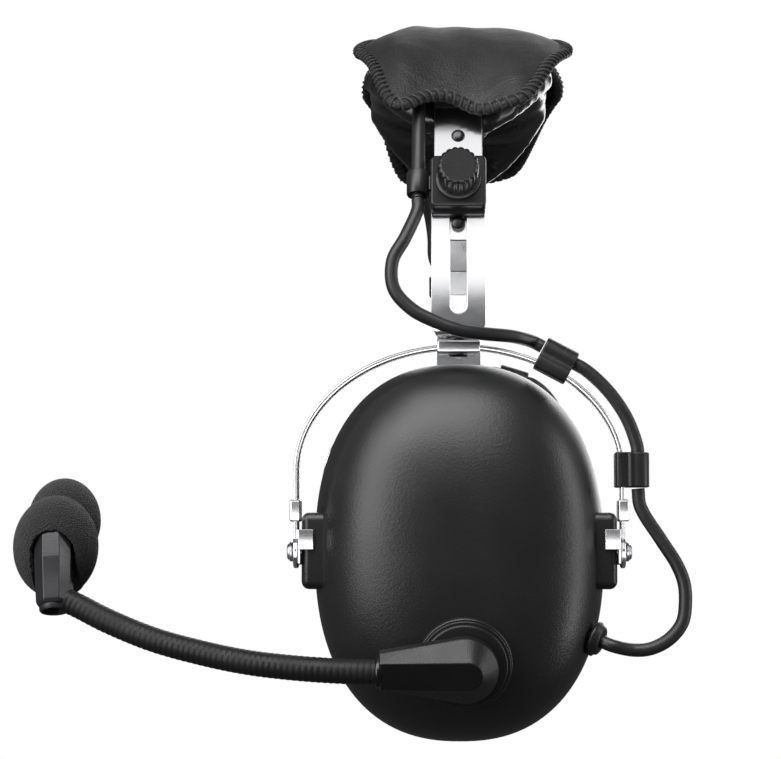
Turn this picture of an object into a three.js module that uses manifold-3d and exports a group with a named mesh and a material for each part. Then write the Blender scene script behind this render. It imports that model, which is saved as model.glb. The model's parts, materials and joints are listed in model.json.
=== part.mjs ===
// Aviation headset with a boom microphone, in millimetres, +Z up.
// The wearer faces -X, so +Y is the wearer's right and the boom is on the -Y side. The origin is the middle
// of the head pad's underside, where the headset rests on the head. Each side is built for the left ear,
// and the right side is its mirror image.
import * as THREE from "three";
import { mergeVertices } from "three/addons/utils/BufferGeometryUtils.js";
import Module from "manifold-3d";

const wasm = await Module();
wasm.setup();

const GAP = 0.3;
const DEG = Math.PI / 180;

// Headband: two leg arcs of large radius that run into one crown arc.
const DOME_Z = -145;
const LEG_Y = 72;
const LEG_RADIUS = 150;
const CROWN_RADIUS = 66;
const LEG_CENTRE_Y = LEG_RADIUS - LEG_Y;
const LEG_CENTRE_Z = DOME_Z + 62;
const LEG_SWEEP = Math.acos(LEG_CENTRE_Y / (LEG_RADIUS - CROWN_RADIUS));
const CROWN_Z = LEG_CENTRE_Z + (LEG_RADIUS - CROWN_RADIUS) * Math.sin(LEG_SWEEP);

// Adjusting strap, outside the spring, with the clamp that holds it.
const STRAP_WIDTH = 15.6;
const STRAP_HALF = 0.7;
const STRAP_TOP = 20 * DEG;
const STRAP_CHAMFER = 2;
const SLOT_WIDTH = 4.7;
const SLOT_FROM = 3 * DEG;
const SLOT_TO = 17.5 * DEG;
const SPRING_WIDTH = 14;
const SPRING_OUT = -STRAP_HALF - GAP;
const SPRING_THICKNESS = 1.2;
const TONGUE_END = 10.5 * DEG;
const GUIDE_AT = 12.3 * DEG;
const CLAMP_AT = 16.4 * DEG;
const BLOCK = { width: 16, height: 16, inner: 1, outer: 6 };
const NUT_PLATE = { width: 15, height: 13, inner: -6, outer: -2.5 };
const KNOB = { radius: 5.4, flange: 6.5, from: 6.3, collar: 7.5, to: 16, lobes: 12, flute: 0.45 };
const SCREW_RADIUS = 2;
const CABLE_X = -11.5;
const RING = {
  radius: 3.2,
  half: 3.6,
  left: { x: CABLE_X, along: 0, out: 3.2 },
  right: { x: -7, along: -14, out: 7.6 },
};

// Head pad: a padded cover over the spring and a cushion under it.
const PAD = { outer: 75.5, side: 63.8, under: 51.5, channel: 69.6, channelHalf: 14.5, halfWidth: 33 };
const PAD_END = 32 * DEG;
const PAD_MOUTH_HALF = 16;
const PAD_STRAP = { at: 42 * DEG, half: 6 * DEG, thickness: 1.2, halfWidth: 23 };

// Stirrup: a flat spring band over the dome, hung on a rivet under the adjusting strap.
const STIRRUP_Y = 66.5;
const BAND_X = 46.4;
const BAND_HALF = 0.7;
const BAND_WIDTH = 6;
const ARCH_FOOT = 23;
const ARCH_RISE = 35.4;
const BAND_TOP = ARCH_FOOT + ARCH_RISE;
const EYE_RADIUS = 4.6;
const PIVOT_HOLE = 1.6;
const CRIMP = { from: 8.5, to: 14.8, inner: 44.9, outer: 48.2, half: 3.7 };
const SLEEVE = { length: 12.4, width: 8, height: 3.7, bore: 2.5 };
const TAB = { from: 61.2, thickness: 1.4, width: 12, reach: 61 };
const RIVET = { radius: 1.5, head: 2.7, under: 0.6, over: 1.1, washer: 3.5 };
const CLIP_LENGTH = 10;
const CLIP = { half: 4.3, inner: -2.1, bore: 2.8, cable: 4.5 };
const UPPER_CLIP_TURN = { left: 35 * DEG, right: 22 * DEG };
const LOWER_CLIP_Z = 23.2;

// Ear dome: a superellipse outline with a bowl-shaped depth, open toward the ear.
const OUTLINE = { halfWidth: 41.5, halfHeight: 54, power: 2.35 };
const DOME = { apex: 22, widest: -8, rim: -22, tuck: 0.03, power: 2.4, wall: 2.6, innerShare: 0.94 };
const BOSS = { inner: 33, outer: 44.6, low: -10.6, high: 11.1, half: 6 };
const PIVOT_CLIP = { thickness: 0.5, low: -3.7, high: 6.3, tabLow: 0.6, tabInner: 41.1 };
const PIVOT_SCREW = { radius: 1.3, inner: 40, head: 1.95, headFrom: 47.4, headTo: 49.1 };
const SEAL = { back: -22.3, front: -39.5, openShare: 0.53, outerShare: 0.96 };
const BAFFLE = { from: -21.5, to: -19, share: 0.9 };
const SPEAKER = { radius: 20, face: -22, back: -9, magnet: 12 };
const GROMMET = {
  flange: 5,
  neck: 4,
  thickness: 2.8,
  left: { x: 36.2, z: -23.7, depth: 1, rise: -20 * DEG, turn: 20 * DEG },
  right: { x: 25.5, z: 37, depth: 9, rise: 28.6 * DEG, turn: 52.2 * DEG },
};
const GLAND = { radius: 5.5, neck: 3.4, length: 9, bore: 2.4 };

// Boom: a holder that turns on a flange on the left dome, a gooseneck and the microphone.
const BOOM = { x: 1.5, z: -31, tilt: 16 * DEG, flange: 12.7, plinth: 13.2, post: 3 };
const HOLDER = { round: 9.3, reach: 23.5, halfEnd: 5, from: 2.6, to: 10.4, bevel: 1.6, axis: 6.6 };
const GOOSENECK_RADIUS = 3.5;
const CABLE_RADIUS = 1.9;

const FINISH = {
  shell: new THREE.MeshStandardMaterial({ color: 0x1c1c1e, roughness: 0.42, metalness: 0 }),
  chrome: new THREE.MeshStandardMaterial({ color: 0xc9cacc, roughness: 0.18, metalness: 1 }),
  knob: new THREE.MeshStandardMaterial({ color: 0x232326, roughness: 0.35, metalness: 0.6 }),
  leather: new THREE.MeshStandardMaterial({ color: 0x1d1d1f, roughness: 0.55, metalness: 0 }),
  vinyl: new THREE.MeshStandardMaterial({ color: 0x141415, roughness: 0.3, metalness: 0 }),
  rubber: new THREE.MeshStandardMaterial({ color: 0x1a1a1b, roughness: 0.6, metalness: 0 }),
  foam: new THREE.MeshStandardMaterial({ color: 0x0e0e0f, roughness: 0.95, metalness: 0 }),
  steel: new THREE.MeshStandardMaterial({ color: 0x8d8f92, roughness: 0.35, metalness: 1 }),
};

// ---- solids: closed geometries that are cut and joined -----------------------------------------------
function solid(geometry) {
  const bare = geometry.index ? geometry.toNonIndexed() : geometry.clone();
  bare.deleteAttribute("normal");
  bare.deleteAttribute("uv");
  const merged = mergeVertices(bare, 1e-3);
  return new wasm.Manifold(
    new wasm.Mesh({
      numProp: 3,
      vertProperties: merged.attributes.position.array,
      triVerts: new Uint32Array(merged.index.array),
    }),
  );
}

function geometryOf(body) {
  const made = body.getMesh();
  const geometry = new THREE.BufferGeometry();
  geometry.setAttribute("position", new THREE.BufferAttribute(made.vertProperties.slice(), 3));
  geometry.setIndex(new THREE.BufferAttribute(made.triVerts.slice(), 1));
  geometry.computeVertexNormals();
  return geometry;
}

const join = (...parts) => geometryOf(parts.map(solid).reduce((all, one) => all.add(one)));

const cut = (part, ...tools) =>
  geometryOf(tools.map(solid).reduce((left, tool) => left.subtract(tool), solid(part)));

function add(group, name, geometry, finish) {
  const mesh = new THREE.Mesh(geometry, finish);
  mesh.name = name;
  group.add(mesh);
  return mesh;
}

// ---- basic forms ---------------------------------------------------------------------------------------
// A box given by its lowest and highest corners.
function block(x0, y0, z0, x1, y1, z1) {
  const geometry = new THREE.BoxGeometry(x1 - x0, y1 - y0, z1 - z0);
  return geometry.translate((x0 + x1) / 2, (y0 + y1) / 2, (z0 + z1) / 2);
}

// A round bar between two points, whose radius may change from one end to the other.
function bar(from, to, radius, segments = 12, endRadius = radius) {
  const start = new THREE.Vector3(...from);
  const run = new THREE.Vector3(...to).sub(start);
  const geometry = new THREE.CylinderGeometry(endRadius, radius, run.length(), segments);
  geometry.translate(0, run.length() / 2, 0);
  const turn = new THREE.Quaternion().setFromUnitVectors(new THREE.Vector3(0, 1, 0), run.normalize());
  return geometry.applyQuaternion(turn).translate(...start.toArray());
}

// An outline in the YZ plane, given a width along X.
function acrossX(shape, width, curveSegments = 12) {
  const geometry = new THREE.ExtrudeGeometry(shape, { depth: width, bevelEnabled: false, curveSegments });
  geometry.translate(0, 0, -width / 2);
  const axes = [new THREE.Vector3(0, 1, 0), new THREE.Vector3(0, 0, 1), new THREE.Vector3(1, 0, 0)];
  return geometry.applyMatrix4(new THREE.Matrix4().makeBasis(...axes));
}

// A cable or tube of even section along a smooth curve through the points.
function tube(points, radius, steps, sides = 8) {
  const curve = new THREE.CatmullRomCurve3(points.map((p) => new THREE.Vector3(...p)), false, "centripetal");
  const section = new THREE.Shape();
  section.absarc(0, 0, radius, 0, 2 * Math.PI);
  const flat = new THREE.Shape(section.getSpacedPoints(sides).slice(0, sides));
  return new THREE.ExtrudeGeometry(flat, { steps, extrudePath: curve });
}

// ---- the headband's arcs -------------------------------------------------------------------------------
// A point of the left leg: the turn up from the strap's foot, and how far outside the strap's middle line.
function legPoint(turn, out) {
  const radius = LEG_RADIUS + out;
  return [LEG_CENTRE_Y - radius * Math.cos(turn), LEG_CENTRE_Z + radius * Math.sin(turn)];
}

// The left leg's ring sector between two turns, and between two distances outside the middle line.
function legSector(from, to, inner, outer) {
  const shape = new THREE.Shape();
  const [start, end] = [Math.PI - to, Math.PI - from];
  shape.absarc(LEG_CENTRE_Y, LEG_CENTRE_Z, LEG_RADIUS + outer, start, end, false);
  shape.absarc(LEG_CENTRE_Y, LEG_CENTRE_Z, LEG_RADIUS + inner, end, start, true);
  return shape;
}

// The crown's ring sector, the same angle each side of the top.
function crownSector(halfTurn, inner, outer) {
  const shape = new THREE.Shape();
  const [start, end] = [Math.PI / 2 - halfTurn, Math.PI / 2 + halfTurn];
  shape.absarc(0, CROWN_Z, outer, start, end, false);
  shape.absarc(0, CROWN_Z, inner, end, start, true);
  return shape;
}

// A round bar square to the left leg.
function legBar(turn, from, to, radius, segments = 12, x = 0) {
  return bar([x, ...legPoint(turn, from)], [x, ...legPoint(turn, to)], radius, segments);
}

// A plate on the left leg, square to it, of a width along X and a height along the leg.
function legPlate({ width, height, inner, outer }) {
  const half = height / 2 / LEG_RADIUS;
  return acrossX(legSector(CLAMP_AT - half, CLAMP_AT + half, inner, outer), width, 3);
}

// ---- headband ------------------------------------------------------------------------------------------
function headbandSpring() {
  const inner = SPRING_OUT - SPRING_THICKNESS;
  const shape = new THREE.Shape();
  const arc = (side, offset, from, to, clockwise) =>
    shape.absarc(side * LEG_CENTRE_Y, LEG_CENTRE_Z, LEG_RADIUS + offset, from, to, clockwise);
  arc(1, SPRING_OUT, Math.PI - TONGUE_END, Math.PI - LEG_SWEEP, true);
  shape.absarc(0, CROWN_Z, CROWN_RADIUS + SPRING_OUT, Math.PI - LEG_SWEEP, LEG_SWEEP, true);
  arc(-1, SPRING_OUT, LEG_SWEEP, TONGUE_END, true);
  arc(-1, inner, TONGUE_END, LEG_SWEEP, false);
  shape.absarc(0, CROWN_Z, CROWN_RADIUS + inner, LEG_SWEEP, Math.PI - LEG_SWEEP, false);
  arc(1, inner, Math.PI - LEG_SWEEP, Math.PI - TONGUE_END, false);
  const strip = acrossX(shape, SPRING_WIDTH, 6);
  const guide = legBar(GUIDE_AT, inner + 0.2, STRAP_HALF + 0.5, 2);
  const hole = legBar(CLAMP_AT, inner - 2, 2, SCREW_RADIUS + GAP);
  const mirrored = (geometry) => geometryOf(solid(geometry).mirror([0, 1, 0]));
  return cut(join(strip, guide, mirrored(guide)), hole, mirrored(hole));
}

// The pad's outline seen from the side: full width over the head, narrowing to the mouth at each end.
function padPlan(halfWidth, mouthHalf) {
  const low = CROWN_Z + PAD.under * Math.sin(PAD_END) - 2;
  const full = low + 30;
  const plan = new THREE.Shape();
  plan.moveTo(-mouthHalf, low);
  plan.lineTo(mouthHalf, low);
  plan.quadraticCurveTo(halfWidth, (low + full) / 2 - 4, halfWidth, full);
  plan.lineTo(halfWidth, PAD.outer);
  plan.lineTo(-halfWidth, PAD.outer);
  plan.lineTo(-halfWidth, full);
  plan.quadraticCurveTo(-halfWidth, (low + full) / 2 - 4, -mouthHalf, low);
  const geometry = new THREE.ExtrudeGeometry(plan, { depth: 200, bevelEnabled: false, curveSegments: 5 });
  return geometry.translate(0, 0, -100).rotateX(Math.PI / 2);
}

function headPadCover() {
  const slab = acrossX(crownSector(Math.PI / 2 - PAD_END, PAD.side, PAD.outer), 2 * PAD.halfWidth, 8);
  const channel = acrossX(crownSector(Math.PI / 2 - PAD_END + 0.1, 40, PAD.channel), 2 * PAD.channelHalf, 8);
  const shaped = solid(slab).intersect(solid(padPlan(PAD.halfWidth, PAD_MOUTH_HALF)));
  return geometryOf(shaped.subtract(solid(channel)));
}

function headPadCushion() {
  const top = PAD.side - 3 * GAP;
  const slab = acrossX(crownSector(Math.PI / 2 - PAD_END, PAD.under, top), 2 * PAD.halfWidth, 8);
  const shaped = solid(slab).intersect(solid(padPlan(PAD.halfWidth - 2, PAD_MOUTH_HALF - 1)));
  return geometryOf(shaped);
}

// A closure strap under one end of the pad.
function padStrap() {
  const shape = new THREE.Shape();
  const [from, to] = [Math.PI - PAD_STRAP.at - PAD_STRAP.half, Math.PI - PAD_STRAP.at + PAD_STRAP.half];
  const outer = PAD.under - GAP;
  shape.absarc(0, CROWN_Z, outer, from, to, false);
  shape.absarc(0, CROWN_Z, outer - PAD_STRAP.thickness, to, from, true);
  return acrossX(shape, 2 * PAD_STRAP.halfWidth, 3);
}

// ---- clamp -----------------------------------------------------------------------------------------------
const screwHole = (radius) => legBar(CLAMP_AT, -12, 12, radius);

const clampBlock = () => cut(legPlate(BLOCK), screwHole(SCREW_RADIUS + GAP));

const clampNutPlate = () => cut(legPlate(NUT_PLATE), screwHole(SCREW_RADIUS + GAP));

// A fluted knob moulded on its clamp screw.
function adjustingKnob() {
  const outline = new THREE.Shape();
  const points = 2 * KNOB.lobes;
  for (let i = 0; i < points; i++) {
    const turn = (2 * Math.PI * i) / points;
    const radius = KNOB.radius + KNOB.flute * Math.cos(KNOB.lobes * turn);
    outline[i ? "lineTo" : "moveTo"](radius * Math.cos(turn), radius * Math.sin(turn));
  }
  const grip = new THREE.ExtrudeGeometry(outline, { depth: KNOB.to - KNOB.collar + 0.2, bevelEnabled: false });
  const [y, z] = legPoint(CLAMP_AT, KNOB.collar - 0.2);
  grip.rotateX(Math.PI / 2 - CLAMP_AT).translate(0, y, z);
  const collar = legBar(CLAMP_AT, KNOB.from, KNOB.collar, KNOB.flange, 16);
  const screw = legBar(CLAMP_AT, NUT_PLATE.inner + 0.5, KNOB.from + 0.2, SCREW_RADIUS, 12);
  return join(grip, collar, screw);
}

// A point in the clamp's flat frame: across the strap, up along it, and outward.
function onClamp(x, along, out) {
  const [y, z] = legPoint(CLAMP_AT, out);
  return [x, y + along * Math.sin(CLAMP_AT), z + along * Math.cos(CLAMP_AT)];
}

const ringEnd = (side, up) => onClamp(RING[side].x, RING[side].along + up, RING[side].out);

// A short tube that holds the crossover cable, with the tab that carries it on the clamp block. The left
// one stands beside the block, and the right one under it.
function cableRing(side) {
  const body = bar(ringEnd(side, -RING.half), ringEnd(side, RING.half), RING.radius, 16);
  const bore = bar(ringEnd(side, -2 * RING.half), ringEnd(side, 2 * RING.half), CABLE_RADIUS + GAP, 12);
  const [, y, z] = ringEnd(side, 0);
  const tab = side === "left"
    ? block(RING.left.x, y - 1, z - 2, -BLOCK.width / 2 - GAP, y + 1, z + 2)
    : block(-2, -3, 0, 2, 1.2, 5.6).rotateX(-CLAMP_AT).translate(
      ...onClamp(RING.right.x, RING.right.along, BLOCK.outer - 3));
  return cut(join(body, tab), bore);
}

// ---- adjusting strap ---------------------------------------------------------------------------------------
function adjustingStrap() {
  const strip = acrossX(legSector(0, STRAP_TOP, -STRAP_HALF, STRAP_HALF), STRAP_WIDTH, 8);
  const slot = acrossX(legSector(SLOT_FROM, SLOT_TO, -3, 3), SLOT_WIDTH, 8);
  const ends = [SLOT_FROM, SLOT_TO].map((turn) => legBar(turn, -3, 3, SLOT_WIDTH / 2, 12));
  const z = DOME_Z + TAB.from;
  const tab = block(-TAB.width / 2, -LEG_Y - STRAP_HALF, z, TAB.width / 2, -TAB.reach, z + TAB.thickness);
  const corner = STRAP_WIDTH / 2 - TAB.width / 2;
  const chamfers = [-1, 1].map((side) => {
    const wedge = block(-corner, -3, -corner * STRAP_CHAMFER, corner, 3, corner * STRAP_CHAMFER);
    wedge.rotateY(side * 30 * DEG);
    return wedge.translate((side * (STRAP_WIDTH + corner)) / 2, -LEG_Y, z);
  });
  const hole = bar([0, -STIRRUP_Y, z - 2], [0, -STIRRUP_Y, z + 4], RIVET.radius + GAP, 12);
  return cut(join(strip, tab), slot, ...ends, ...chamfers, hole);
}

// ---- stirrup -----------------------------------------------------------------------------------------------
// A point of the band's middle line at a turn from the top, and how far outside it.
function archPoint(turn, out = 0) {
  const along = [BAND_X * Math.cos(turn), -ARCH_RISE * Math.sin(turn)];
  const length = Math.hypot(...along);
  return {
    x: BAND_X * Math.sin(turn) - (out * along[1]) / length,
    z: DOME_Z + ARCH_FOOT + ARCH_RISE * Math.cos(turn) + (out * along[0]) / length,
    slope: Math.atan2(along[1], along[0]),
  };
}

function stirrupBand() {
  const shape = new THREE.Shape();
  const steps = 18;
  const side = (out, step) => {
    for (let i = 0; i <= steps; i++) {
      const turn = ((step * (2 * i - steps)) / steps) * 90 * DEG;
      const { x, z } = archPoint(turn, out);
      shape.lineTo(x, z);
    }
  };
  const foot = DOME_Z;
  shape.moveTo(-BAND_X - BAND_HALF, foot);
  side(BAND_HALF, 1);
  shape.lineTo(BAND_X + BAND_HALF, foot);
  shape.lineTo(BAND_X - BAND_HALF, foot);
  side(-BAND_HALF, -1);
  shape.lineTo(-BAND_X + BAND_HALF, foot);
  const pieces = [acrossYUp(shape, BAND_WIDTH)];
  const holes = [];
  for (const end of [-1, 1]) {
    const at = (x) => [end * x, -STIRRUP_Y, DOME_Z];
    pieces.push(bar(at(BAND_X - BAND_HALF), at(BAND_X + BAND_HALF), EYE_RADIUS, 14));
    const edges = [end * CRIMP.inner, end * CRIMP.outer].sort((a, b) => a - b);
    pieces.push(block(edges[0], -STIRRUP_Y - CRIMP.half, DOME_Z + CRIMP.from,
      edges[1], -STIRRUP_Y + CRIMP.half, DOME_Z + CRIMP.to));
    holes.push(bar(at(BAND_X - 3), at(BAND_X + 3), PIVOT_HOLE, 12));
  }
  const top = DOME_Z + BAND_TOP;
  holes.push(bar([0, -STIRRUP_Y, top - 3], [0, -STIRRUP_Y, top + 3], RIVET.radius + GAP, 12));
  return cut(join(...pieces), ...holes);
}

// An outline in the XZ plane, with +Z kept up, given a width along Y about the stirrup's plane.
function acrossYUp(shape, width) {
  const geometry = new THREE.ExtrudeGeometry(shape, { depth: width, bevelEnabled: false });
  return geometry.rotateX(Math.PI / 2).translate(0, width / 2 - STIRRUP_Y, 0);
}

function stirrupSleeve() {
  const z = DOME_Z + BAND_TOP;
  const [x, y, h] = [SLEEVE.length / 2, SLEEVE.width / 2, SLEEVE.height / 2];
  const body = block(-x, -STIRRUP_Y - y, z - h, x, -STIRRUP_Y + y, z + h);
  const inside = [BAND_WIDTH / 2 + GAP, SLEEVE.bore / 2];
  const bore = block(-x - 1, -STIRRUP_Y - inside[0], z - inside[1], x + 1, -STIRRUP_Y + inside[0], z + inside[1]);
  const hole = bar([0, -STIRRUP_Y, z - 4], [0, -STIRRUP_Y, z + 4], RIVET.radius + GAP, 12);
  return cut(body, bore, hole);
}

function swivelRivet() {
  const low = DOME_Z + BAND_TOP - SLEEVE.height / 2 - GAP;
  const top = DOME_Z + TAB.from + TAB.thickness + GAP;
  const washer = DOME_Z + TAB.from - GAP;
  const at = (z) => [0, -STIRRUP_Y, z];
  return join(
    bar(at(low - RIVET.under), at(top + RIVET.over), RIVET.radius, 12),
    bar(at(low - RIVET.under), at(low), RIVET.head, 12),
    bar(at(washer - GAP), at(washer), RIVET.washer, 12),
    bar(at(top), at(top + RIVET.over), RIVET.head, 12, 1.9),
  );
}

// A two-lobed sleeve round the band and the cable, lying along X with the band at its origin.
function cableClip() {
  const half = CLIP_LENGTH / 2;
  const outline = new THREE.Shape();
  outline.moveTo(-CLIP.half, CLIP.inner);
  outline.lineTo(CLIP.half, CLIP.inner);
  outline.lineTo(CLIP.half, 1.6);
  outline.absarc(0, CLIP.cable, CABLE_RADIUS + GAP + 0.9, -30 * DEG, 210 * DEG, false);
  outline.lineTo(-CLIP.half, 1.6);
  const body = acrossX(outline, CLIP_LENGTH, 6);
  const band = BAND_WIDTH / 2 + GAP;
  const bore = block(-half - 1, -band, -CLIP.bore / 2, half + 1, band, CLIP.bore / 2);
  const cable = bar([-half - 1, 0, CLIP.cable], [half + 1, 0, CLIP.cable], CABLE_RADIUS + GAP, 12);
  return cut(body, bore, cable);
}

function placeClip(mesh, turn, z) {
  const at = z === undefined ? archPoint(turn) : { x: BAND_X, z: DOME_Z + z, slope: -90 * DEG };
  mesh.position.set(at.x, -STIRRUP_Y, at.z);
  mesh.rotation.y = -at.slope;
}

// ---- ear dome ------------------------------------------------------------------------------------------------
// Stretches a lathe of unit radius about the Y axis into the dome's superellipse outline.
function toOutline(geometry) {
  const at = geometry.attributes.position;
  for (let i = 0; i < at.count; i++) {
    const [x, z] = [at.getX(i), at.getZ(i)];
    const share = Math.hypot(x, z);
    if (share < 1e-6) continue;
    const [c, s] = [Math.abs(x / share), Math.abs(z / share)];
    const { halfWidth, halfHeight, power } = OUTLINE;
    const reach = ((c / halfWidth) ** power + (s / halfHeight) ** power) ** (-1 / power);
    at.setX(i, x * reach);
    at.setZ(i, z * reach);
  }
  return geometry.translate(0, 0, DOME_Z);
}

// A lathe whose profile is a list of [share of the outline, depth outside the stirrup's plane].
function outlineLathe(profile, segments = 28) {
  const points = profile.map(([share, depth]) => new THREE.Vector2(share, -STIRRUP_Y - depth));
  return toOutline(new THREE.LatheGeometry(points, segments));
}

// A filled bowl of the dome's form, from its apex to a flat face at the rim depth.
function bowl(share, apex, rim, rings = 5, segments = 28) {
  const profile = [];
  for (let i = 0; i <= rings; i++) {
    const turn = (i / rings) * 90 * DEG;
    const depth = DOME.widest + (apex - DOME.widest) * Math.cos(turn) ** (2 / DOME.power);
    profile.push([share * Math.sin(turn) ** (2 / DOME.power), depth]);
  }
  profile.push([share * (1 - DOME.tuck), rim], [0, rim]);
  return outlineLathe(profile, segments);
}

// How far the dome's outside stands outside the stirrup's plane at a point of its face.
function domeDepth(x, z) {
  const { halfWidth, halfHeight, power } = OUTLINE;
  const share = (Math.abs(x / halfWidth) ** power + Math.abs(z / halfHeight) ** power) ** (1 / power);
  return DOME.widest + (DOME.apex - DOME.widest) * (1 - share ** DOME.power) ** (1 / DOME.power);
}

const boomSeat = [BOOM.x, -STIRRUP_Y - domeDepth(BOOM.x, BOOM.z) - 0.8, DOME_Z + BOOM.z];

// A piece made along -Y from the origin, set on the boom's seat square to the dome.
const onBoomSeat = (geometry) => geometry.rotateX(BOOM.tilt).translate(...boomSeat);

function earDome(side) {
  const left = side === "left";
  const pieces = [bowl(1, DOME.apex, DOME.rim)];
  for (const end of [-1, 1]) {
    const edges = [end * BOSS.inner, end * BOSS.outer].sort((a, b) => a - b);
    pieces.push(block(edges[0], -STIRRUP_Y - BOSS.half, DOME_Z + BOSS.low,
      edges[1], -STIRRUP_Y + BOSS.half, DOME_Z + BOSS.high));
  }
  if (left) pieces.push(onBoomSeat(bar([0, 8, 0], [0, 0, 0], BOOM.plinth, 20)));
  const tools = [bowl(DOME.innerShare, DOME.apex - DOME.wall, DOME.rim - 4, 4)];
  for (const end of [-1, 1]) {
    const at = (x) => [end * x, -STIRRUP_Y, DOME_Z];
    tools.push(bar(at(PIVOT_SCREW.inner - 1), at(BOSS.outer + 1), PIVOT_HOLE, 12));
  }
  tools.push(alongGrommet(side, bar([-12, 0, 0], [6, 0, 0], GROMMET.neck + GAP, 16)));
  if (left) tools.push(onBoomSeat(bar([0, 14, 0], [0, -2, 0], BOOM.post + GAP, 16)));
  else tools.push(bar([0, -STIRRUP_Y, DOME_Z - 60], [0, -STIRRUP_Y, DOME_Z - 44], GLAND.neck + GAP, 12));
  return cut(join(...pieces), ...tools);
}

// A thin plate between the boss and the band, with a tab bent along the boss's outer face.
function pivotClip(end) {
  const face = BOSS.outer + GAP;
  const front = -STIRRUP_Y - BOSS.half - GAP;
  const t = PIVOT_CLIP.thickness;
  const box = (x0, y0, z0, x1, y1, z1) => {
    const edges = [end * x0, end * x1].sort((a, b) => a - b);
    return block(edges[0], y0, DOME_Z + z0, edges[1], y1, DOME_Z + z1);
  };
  const plate = box(face, front - t, PIVOT_CLIP.low, face + t, -STIRRUP_Y + 3.7, PIVOT_CLIP.high);
  const tab = box(PIVOT_CLIP.tabInner, front - t, PIVOT_CLIP.tabLow, face + t, front, PIVOT_CLIP.high);
  const at = (x) => [end * x, -STIRRUP_Y, DOME_Z];
  return cut(join(plate, tab), bar(at(face - 2), at(face + 2), PIVOT_HOLE, 12));
}

function pivotScrew(end) {
  const at = (x) => [end * x, -STIRRUP_Y, DOME_Z];
  return join(
    bar(at(PIVOT_SCREW.inner), at(PIVOT_SCREW.headTo), PIVOT_SCREW.radius, 10),
    bar(at(PIVOT_SCREW.headFrom), at(PIVOT_SCREW.headTo), PIVOT_SCREW.head, 16),
  );
}

function foamLiner(side) {
  const share = DOME.innerShare - 0.02;
  const outer = bowl(share, DOME.apex - DOME.wall - 1, BAFFLE.to + 3, 3, 20);
  const inner = bowl(share - 0.1, DOME.apex - DOME.wall - 5, BAFFLE.to - 6, 3, 20);
  const clear = [-1, 1].map((end) =>
    block(Math.min(end * 28, end * 44), -STIRRUP_Y - 7, DOME_Z - 12, Math.max(end * 28, end * 44),
      -STIRRUP_Y + 7, DOME_Z + 12));
  const bores = [alongGrommet(side, bar([-16, 0, 0], [2, 0, 0], GROMMET.neck + 1, 8))];
  if (side === "left") bores.push(onBoomSeat(bar([0, 16, 0], [0, 0, 0], BOOM.post + 1.5, 8)));
  return cut(outer, inner, ...clear, ...bores);
}

function bafflePlate() {
  const plate = outlineLathe(
    [[0, BAFFLE.to], [BAFFLE.share, BAFFLE.to], [BAFFLE.share, BAFFLE.from], [0, BAFFLE.from]],
    28,
  );
  const y = -STIRRUP_Y - BAFFLE.from;
  return cut(plate, bar([0, y - 9, DOME_Z], [0, y + 6, DOME_Z], SPEAKER.radius + GAP, 24));
}

function speaker() {
  const at = (depth) => [0, -STIRRUP_Y - depth, DOME_Z];
  return join(
    bar(at(SPEAKER.face), at(SPEAKER.face + 6), SPEAKER.radius, 24),
    bar(at(SPEAKER.face + 5), at(SPEAKER.back), SPEAKER.magnet, 20),
  );
}

// The cushion round the ear, a closed ring with a flat back and a flat band where it meets the head.
function earSeal() {
  const { back, front, openShare, outerShare } = SEAL;
  const soft = 5;
  return outlineLathe([
    [openShare + 0.05, back],
    [openShare, back - soft],
    [openShare + 0.02, front + soft],
    [openShare + 0.12, front],
    [outerShare - 0.12, front],
    [outerShare - 0.01, front + soft],
    [outerShare, back - soft],
    [outerShare - 0.03, back],
    [openShare + 0.05, back],
  ].reverse(), 24);
}

// A piece made along +X from the origin, set on the dome's rear where the cable enters.
function alongGrommet(side, geometry) {
  const { x, z, depth, rise, turn } = GROMMET[side];
  return geometry.rotateY(-rise).rotateZ(-turn).translate(x, -STIRRUP_Y - depth, DOME_Z + z);
}

function cableGrommet(side) {
  const flange = bar([1.7, 0, 0], [1.7 + GROMMET.thickness, 0, 0], GROMMET.flange, 14, GROMMET.flange - 1);
  const neck = bar([-3, 0, 0], [1.8, 0, 0], GROMMET.neck, 12);
  const bore = bar([-5, 0, 0], [6, 0, 0], CABLE_RADIUS + GAP, 12);
  return alongGrommet(side, cut(join(flange, neck), bore));
}

// The gland where the cord to the aircraft leaves the right dome.
function commCordGland() {
  const top = DOME_Z - OUTLINE.halfHeight;
  const at = (z) => [0, -STIRRUP_Y, z];
  return cut(
    join(
      bar(at(top - 0.6), at(top - 0.6 - GLAND.length), GLAND.radius, 20, GLAND.radius - 1),
      bar(at(top + 4), at(top - 1), GLAND.neck, 12),
    ),
    bar(at(top + 6), at(top - 4 - GLAND.length / 2), GLAND.bore, 12),
  );
}

// ---- boom ----------------------------------------------------------------------------------------------------
function boomFlange() {
  const disc = bar([0, -GAP, 0], [0, -2.1, 0], BOOM.flange, 20, BOOM.flange - 0.4);
  return onBoomSeat(cut(disc, bar([0, 3, 0], [0, -5, 0], BOOM.post + GAP, 16)));
}

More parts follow.
